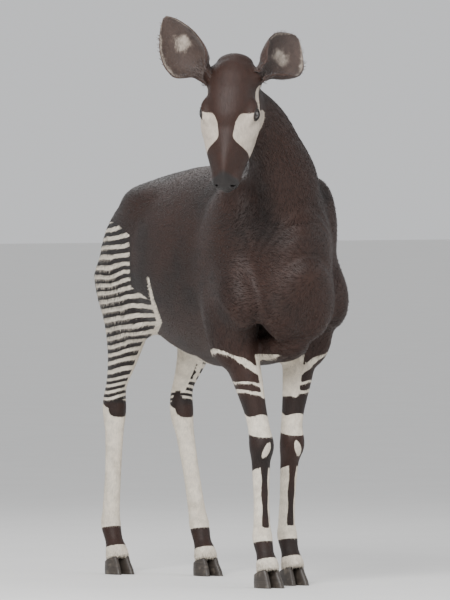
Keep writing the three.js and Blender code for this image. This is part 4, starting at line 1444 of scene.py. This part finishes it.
@dataclass
class Lashes:
    """The dark lashes along one upper lid."""

    side: str
    count: int = 34
    seed: int = 5

    def build(self) -> bpy.types.Object:
        """Builds the lashes as thin bent cones."""
        rng = np.random.default_rng(self.seed)
        eye = EyePlace(SIDES[self.side][0])
        bundle = Bundle()
        shares = np.linspace(0, 1, 6)
        for i in range(self.count):
            x = -0.7 + 1.4 * (i + rng.uniform(-0.3, 0.3)) / (self.count - 1)
            y = RIM_HIGH * 1.08 * max(1 - (abs(x) / RIM_WIDE) ** 2.1, 0.02) ** (1 / 1.6) + 0.03
            way = unit(eye.out + x * eye.level + y * eye.up)
            root = eye.seat + way * (EYE_RADIUS + 3.0)
            length = rng.uniform(13, 20) * (1 - 0.35 * abs(x))
            bend = unit(way * 0.8 - 0.45 * eye.up + 0.5 * x * eye.level + rng.normal(0, 0.06, 3))
            core = root + length * (shares[:, None] * bend + (shares**2)[:, None] * 0.5 * eye.up)
            along = unit(np.gradient(core, axis=0))
            across = unit(np.cross(along, eye.level))
            bundle.add(tube(core, 0.42 * (1 - 0.85 * shares), across, np.cross(along, across), 5))
        made = mesh_of("lashes_" + self.side, from_head(np.vstack(bundle.points)), bundle.faces, placed=False)
        outward(made)
        return made


@dataclass
class Tail:
    """Her tail: a tapering stem and a tuft of long locks."""

    locks: int = 260
    seed: int = 7

    def path(self, t: np.ndarray) -> Points:
        """Returns the middle of the stem at the shares `t` of its length."""
        fine = np.linspace(-0.2, 2, 441)
        lean = np.radians(42 + (88 - 42) * np.clip(2.2 * fine, 0, 1))
        step = np.column_stack([0 * fine, np.cos(lean), -np.sin(lean)]) * (fine[1] - fine[0]) * TAIL_LENGTH
        way = np.cumsum(step, axis=0)
        way = way - way[np.argmin(np.abs(fine))] + TAIL_ROOT
        return np.column_stack([np.interp(t, fine, way[:, k]) for k in range(3)])

    def build(self) -> bpy.types.Object:
        """Builds stem and locks as one mesh."""
        rng = np.random.default_rng(self.seed)
        t = np.linspace(-0.16, 1, 36)
        middle = self.path(t)
        along = unit(np.gradient(middle, axis=0))
        up = np.cross(along, [1.0, 0, 0])
        size = 28 + (13 - 28) * np.clip(t, 0, 1) ** 0.7
        size[-1] = 3
        level, ahead = np.eye(3)[:2]
        bundle = Bundle()
        bundle.add(tube(middle, size, level, 0.9 * up, 28))
        tips = [np.zeros(bundle.count)]
        shares = np.linspace(0, 1, 7)
        for i in range(self.locks):
            start = rng.uniform(0.62, 1.0)
            spin = i * 2.399
            length = rng.uniform(118, 168) / TAIL_LENGTH
            core = self.path(start + shares * length * (1 - 0.06 * rng.random()))
            out = np.array([math.cos(spin), 0.9 * math.sin(spin), 0])
            swell = 8 + 9 * np.sin(np.pi * np.clip(shares * 1.1, 0, 1)) * rng.uniform(0.3, 1.5)
            curl = 5 * np.sin(shares * 5 + rng.uniform(0, 6.3)) * shares
            core = core + out * (swell * (1 - 0.4 * shares))[:, None]
            core = core + np.array([-out[1], out[0], 0]) * curl[:, None]
            wide = rng.uniform(2.4, 4.2) * (1 - shares**2 * 0.93)
            bundle.add(tube(core, wide, level, ahead, 5))
            tips.append(np.repeat(shares, 5))
        made = mesh_of("tail_hair", np.vstack(bundle.points), bundle.faces, placed=False)
        set_value(made, "tip", np.concatenate(tips))
        plain = {"limb": 1.0, "band": OUTSIDE, "white": OUTSIDE, "dark": -OUTSIDE, "tone": 0.4}
        for name, value in plain.items():
            set_value(made, name, np.full(bundle.count, value))
        outward(made)
        return made


def tuft_mesh() -> bpy.types.Object:
    """Returns one tuft of hair: a flat spindle along X, one long and one wide, with its tip marked."""
    points = np.array([
        (0, 0, -0.02), (1, 0, 0.05), (0.34, 0.5, 0.02), (0.34, -0.5, 0.02), (0.3, 0, 0.16), (0.4, 0, -0.08)
    ])
    faces = [(0, 4, 2), (0, 3, 4), (0, 2, 5), (0, 5, 3), (1, 2, 4), (1, 4, 3), (1, 5, 2), (1, 3, 5)]
    made = mesh_of("tuft", points, faces)
    set_value(made, "tip", points[:, 0])
    patch = points * (1, 1, 0)
    patch[4:, 1] = 0.1, -0.1
    set_value(made, "patch", patch)
    outward(made)
    return made


@dataclass
class Coat:
    """Short hair on a piece: thin overlapping tufts that follow its lie, one mesh for each part of it.

    Args:
        body: the piece, with its lie, coat_length and root attributes.
        zones: the parts, each with the vertices that belong to it.
        density: tufts for each square metre at each vertex.
        width: a tuft's width over its length, by part.
        lift: how far a tuft stands up, in radians.
        most: most tufts in one part.
        patch: a tuft's size on the unwrap.
    """

    body: bpy.types.Object
    zones: dict[str, np.ndarray]
    density: np.ndarray
    width: float = 0.115
    lift: float = 0.12
    most: int = 23500
    patch: float = 0.003

    def tree(self) -> bpy.types.NodeTree:
        """Returns the tree that sets tufts on the skin, with named inputs for its sizes."""
        tree = bpy.data.node_groups.new("coat tufts", "GeometryNodeTree")
        sockets = {"Skin": "Geometry", "Tuft": "Object", "Finish": "Material",
                   "Width": "Float", "Lift": "Float", "Seed": "Int"}
        for name, kind in sockets.items():
            tree.interface.new_socket(name, in_out="INPUT", socket_type="NodeSocket" + kind)
        tree.interface.new_socket("Coat", in_out="OUTPUT", socket_type="NodeSocketGeometry")
        w = Wiring(tree)
        given = tree.nodes.new("NodeGroupInput").outputs

        def stored(name: str, kind: str = "FLOAT") -> bpy.types.NodeSocket:
            """Returns a value stored on the skin."""
            return w.add("GeometryNodeInputNamedAttribute", {"Name": name}, data_type=kind).outputs[0]

        def chance(low: object, high: object, more: int) -> bpy.types.NodeSocket:
            """Returns a random number for each tuft."""
            seed = w.math("ADD", given["Seed"], more)
            made = w.add("FunctionNodeRandomValue", {2: low, 3: high, "Seed": seed}, data_type="FLOAT")
            return made.outputs[1]

        spread = w.add("GeometryNodeDistributePointsOnFaces", {
            "Mesh": given["Skin"], "Density": stored("density"), "Seed": given["Seed"]})
        facing = w.add("FunctionNodeAxesToRotation", {
            "Primary Axis": spread.outputs["Normal"], "Secondary Axis": stored("lie", "FLOAT_VECTOR")},
            primary_axis="Z", secondary_axis="X")
        angles = w.add("ShaderNodeCombineXYZ", {
            "X": chance(-0.2, 0.2, 1),
            "Y": w.math("MULTIPLY", given["Lift"], chance(-1.5, -0.5, 2)),
            "Z": chance(-0.2, 0.2, 3)})
        turned = w.add("FunctionNodeRotateRotation", {
            "Rotation": facing.outputs[0],
            "Rotate By": w.add("FunctionNodeEulerToRotation", {0: angles.outputs[0]}).outputs[0]},
            rotation_space="LOCAL")
        long = w.math("MULTIPLY", stored("coat_length"), chance(0.7, 1.25, 4))
        usual = w.math("MULTIPLY", stored("coat_length"), given["Width"])
        wide = w.math("MULTIPLY", usual, chance(0.75, 1.3, 5))
        size = w.add("ShaderNodeCombineXYZ", {"X": long, "Y": wide, "Z": wide})
        tuft = w.add("GeometryNodeObjectInfo", {"Object": given["Tuft"]})
        placed = w.add("GeometryNodeInstanceOnPoints", {
            "Points": spread.outputs["Points"], "Instance": tuft.outputs["Geometry"],
            "Rotation": turned.outputs[0], "Scale": size.outputs[0]})
        toned = w.add("GeometryNodeStoreNamedAttribute", {
            "Geometry": placed.outputs[0], "Name": "tone", "Value": chance(0.0, 0.75, 6)},
            data_type="FLOAT", domain="INSTANCE")
        real = w.add("GeometryNodeRealizeInstances", {0: toned.outputs[0]})
        done = w.add("GeometryNodeSetMaterial", {"Geometry": real.outputs[0], "Material": given["Finish"]})
        w.add("NodeGroupOutput", {"Coat": done.outputs[0]})
        return tree

    def build(self, finish: bpy.types.Material) -> list[bpy.types.Object]:
        """Grows the tufts zone by zone and returns the finished pieces."""
        tree, tuft = self.tree(), tuft_mesh()
        skin = self.body.data
        area = numbers(skin.polygons, "area")
        first = numbers(skin.loops, "vertex_index", kind=int)[numbers(skin.polygons, "loop_start", kind=int)]
        made = []
        for number, (zone, chosen) in enumerate(self.zones.items()):
            wished = self.density * chosen
            expected = float((area * wished[first]).sum())
            set_value(self.body, "density", wished * min(1.0, self.most / max(expected, 1)))
            grow = self.body.modifiers.new("grow", "NODES")
            grow.node_group = tree
            values = {"Tuft": tuft, "Finish": finish, "Width": self.width, "Lift": self.lift,
                      "Seed": 11 + 7 * number}
            for item in tree.interface.items_tree:
                if item.in_out == "INPUT" and item.name in values:
                    grow[item.identifier] = values[item.name]
            bpy.context.view_layer.update()
            ready = self.body.evaluated_get(bpy.context.evaluated_depsgraph_get())
            data = bpy.data.meshes.new_from_object(ready)
            self.body.modifiers.remove(grow)
            piece = bpy.data.objects.new("coat_" + zone, data)
            bpy.context.collection.objects.link(piece)
            self.unwrap(piece)
            log.info("coat_%s: %d tufts wished", zone, expected)
            made.append(piece)
        bpy.data.objects.remove(tuft)
        skin.attributes.remove(skin.attributes["density"])
        return made

    def unwrap(self, piece: bpy.types.Object) -> None:
        """Gives each tuft a small patch at its root's place on the skin's own unwrap."""
        data = piece.data
        root, patch = (numbers(data.attributes[name].data, "vector", 3) for name in ("root", "patch"))
        spots = root[:, :2] + patch[:, :2] * self.patch
        corner = numbers(data.loops, "vertex_index", kind=int)
        for layer in list(data.uv_layers):
            data.uv_layers.remove(layer)
        made = data.uv_layers.new(name="OFBake")
        made.uv.foreach_set("vector", spots[corner].astype(np.float32).ravel())
        for name in ("root", "patch", "lie", "density", "coat_length", "bare"):
            if name in data.attributes:
                data.attributes.remove(data.attributes[name])
        data.shade_smooth()


@dataclass
class Studio:
    """A pale floor, soft lights and the camera at the picture's angle."""

    azimuth: float = -27.0
    elevation: float = 1.4
    distance: float = 40.0
    pixels: float = 268.0  # of the picture, for each metre at her place
    picture: tuple[float, float] = (450.0, 600.0)
    origin: tuple[float, float] = (276.0, 586.0)  # the pixel where the design's origin falls
    film: float = 36.0

    def camera(self) -> None:
        """Sets the camera so that the design's origin falls where the picture has it."""
        a, e = math.radians(self.azimuth), math.radians(self.elevation)
        back = Vector((math.sin(a) * math.cos(e), -math.cos(a) * math.cos(e), math.sin(e)))
        right = Vector((math.cos(a), math.sin(a), 0))
        rise = back.cross(right)
        across = (self.picture[0] / 2 - self.origin[0]) / self.pixels
        down = (self.origin[1] - self.picture[1] / 2) / self.pixels
        target = Vector(PLACE.shift) + right * across + rise * down
        lens = bpy.data.cameras.new("view")
        lens.sensor_fit, lens.sensor_height, lens.sensor_width = "VERTICAL", self.film, self.film
        lens.lens = self.film * self.distance * self.pixels / self.picture[1]
        lens.clip_end = 400
        made = bpy.data.objects.new("view", lens)
        made.location = target + back * self.distance
        made.rotation_euler = back.to_track_quat("Z", "Y").to_euler()
        bpy.context.collection.objects.link(made)
        bpy.context.scene.camera = made

    def light(self, name: str, place: tuple[float, float, float], size: float, power: float) -> None:
        """Adds one soft square light that looks at her middle."""
        lamp = bpy.data.lights.new(name, "AREA")
        lamp.energy, lamp.size = power, size
        made = bpy.data.objects.new(name, lamp)
        made.location = place
        made.rotation_euler = (Vector(place) - Vector((0, 0, 1.1))).to_track_quat("Z", "Y").to_euler()
        made.visible_camera = False
        bpy.context.collection.objects.link(made)

    def build(self) -> None:
        """Builds the floor, the world, the lights and the camera."""
        corners = 60.0 * np.array([(-1, -1, 0), (1, -1, 0), (1, 1, 0), (-1, 1, 0)])
        made = mesh_of("floor", corners, [[0, 1, 2, 3]])
        paint, w, shader = new_material("floor_paint", Roughness=0.8, Specular_IOR_Level=0.2)
        tone = w.mix(w.noise(w.place(), 3, 2), (0.77, 0.765, 0.75, 1), (0.82, 0.815, 0.8, 1))
        w.tree.links.new(tone, shader.inputs["Base Color"])
        made.data.materials.append(paint)
        world = bpy.data.worlds.new("studio")
        world.use_nodes = True
        world.node_tree.nodes["Background"].inputs[0].default_value = (0.86, 0.87, 0.89, 1)
        world.node_tree.nodes["Background"].inputs[1].default_value = 0.85
        bpy.context.scene.world = world
        self.light("key", (-3.4, -3.6, 4.2), 2.4, 380)
        self.light("fill", (3.6, -3.2, 3.0), 3.2, 60)
        self.light("rim", (1.0, 4.2, 4.4), 2.6, 70)
        self.camera()


def main() -> None:
    """Builds her, piece by piece."""
    logging.basicConfig(level=logging.INFO, format="%(message)s")
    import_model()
    PLACE.read()
    studio = Studio()
    studio.build()
    pattern, relief = pattern_group(), relief_group()
    coat = CoatFinish().build(pattern, relief)
    tuft = CoatFinish("coat_tuft", tufts=True).build(pattern, relief)
    ear, horn, wet = EarFinish().build(relief), HornFinish().build(), EyeFinish().build()
    skin = Skin()
    body = skin.build()
    unwrap_by_shape(body)
    for piece in Coat(body, skin.zones, skin.density).build(tuft):
        dress(piece, tuft, "coat")
    dress(body, coat, "coat", *FLESH_NODES)
    for side in SIDES:
        shell = Ear(side)
        flap = shell.build()
        unwrap_by_shape(flap)
        for piece in shell.hair(flap).build(ear):
            dress(piece, ear, "coat")
        dress(flap, ear, "coat", "ear_" + side)
        dress(Eye(side).build(), wet, "eye", "eye_" + side)
        dress(Lashes(side).build(), horn, "coat")
    dress(Tail().build(), tuft, "coat", "tail")
    for end in ("fore", "hind"):
        for side in SIDES:
            for place in ("inner", "outer"):
                dress(Claw(end, side, place).build(), horn, "horn", f"hoof_{end}_{side}_{place}")


if __name__ == "__main__":
    main()
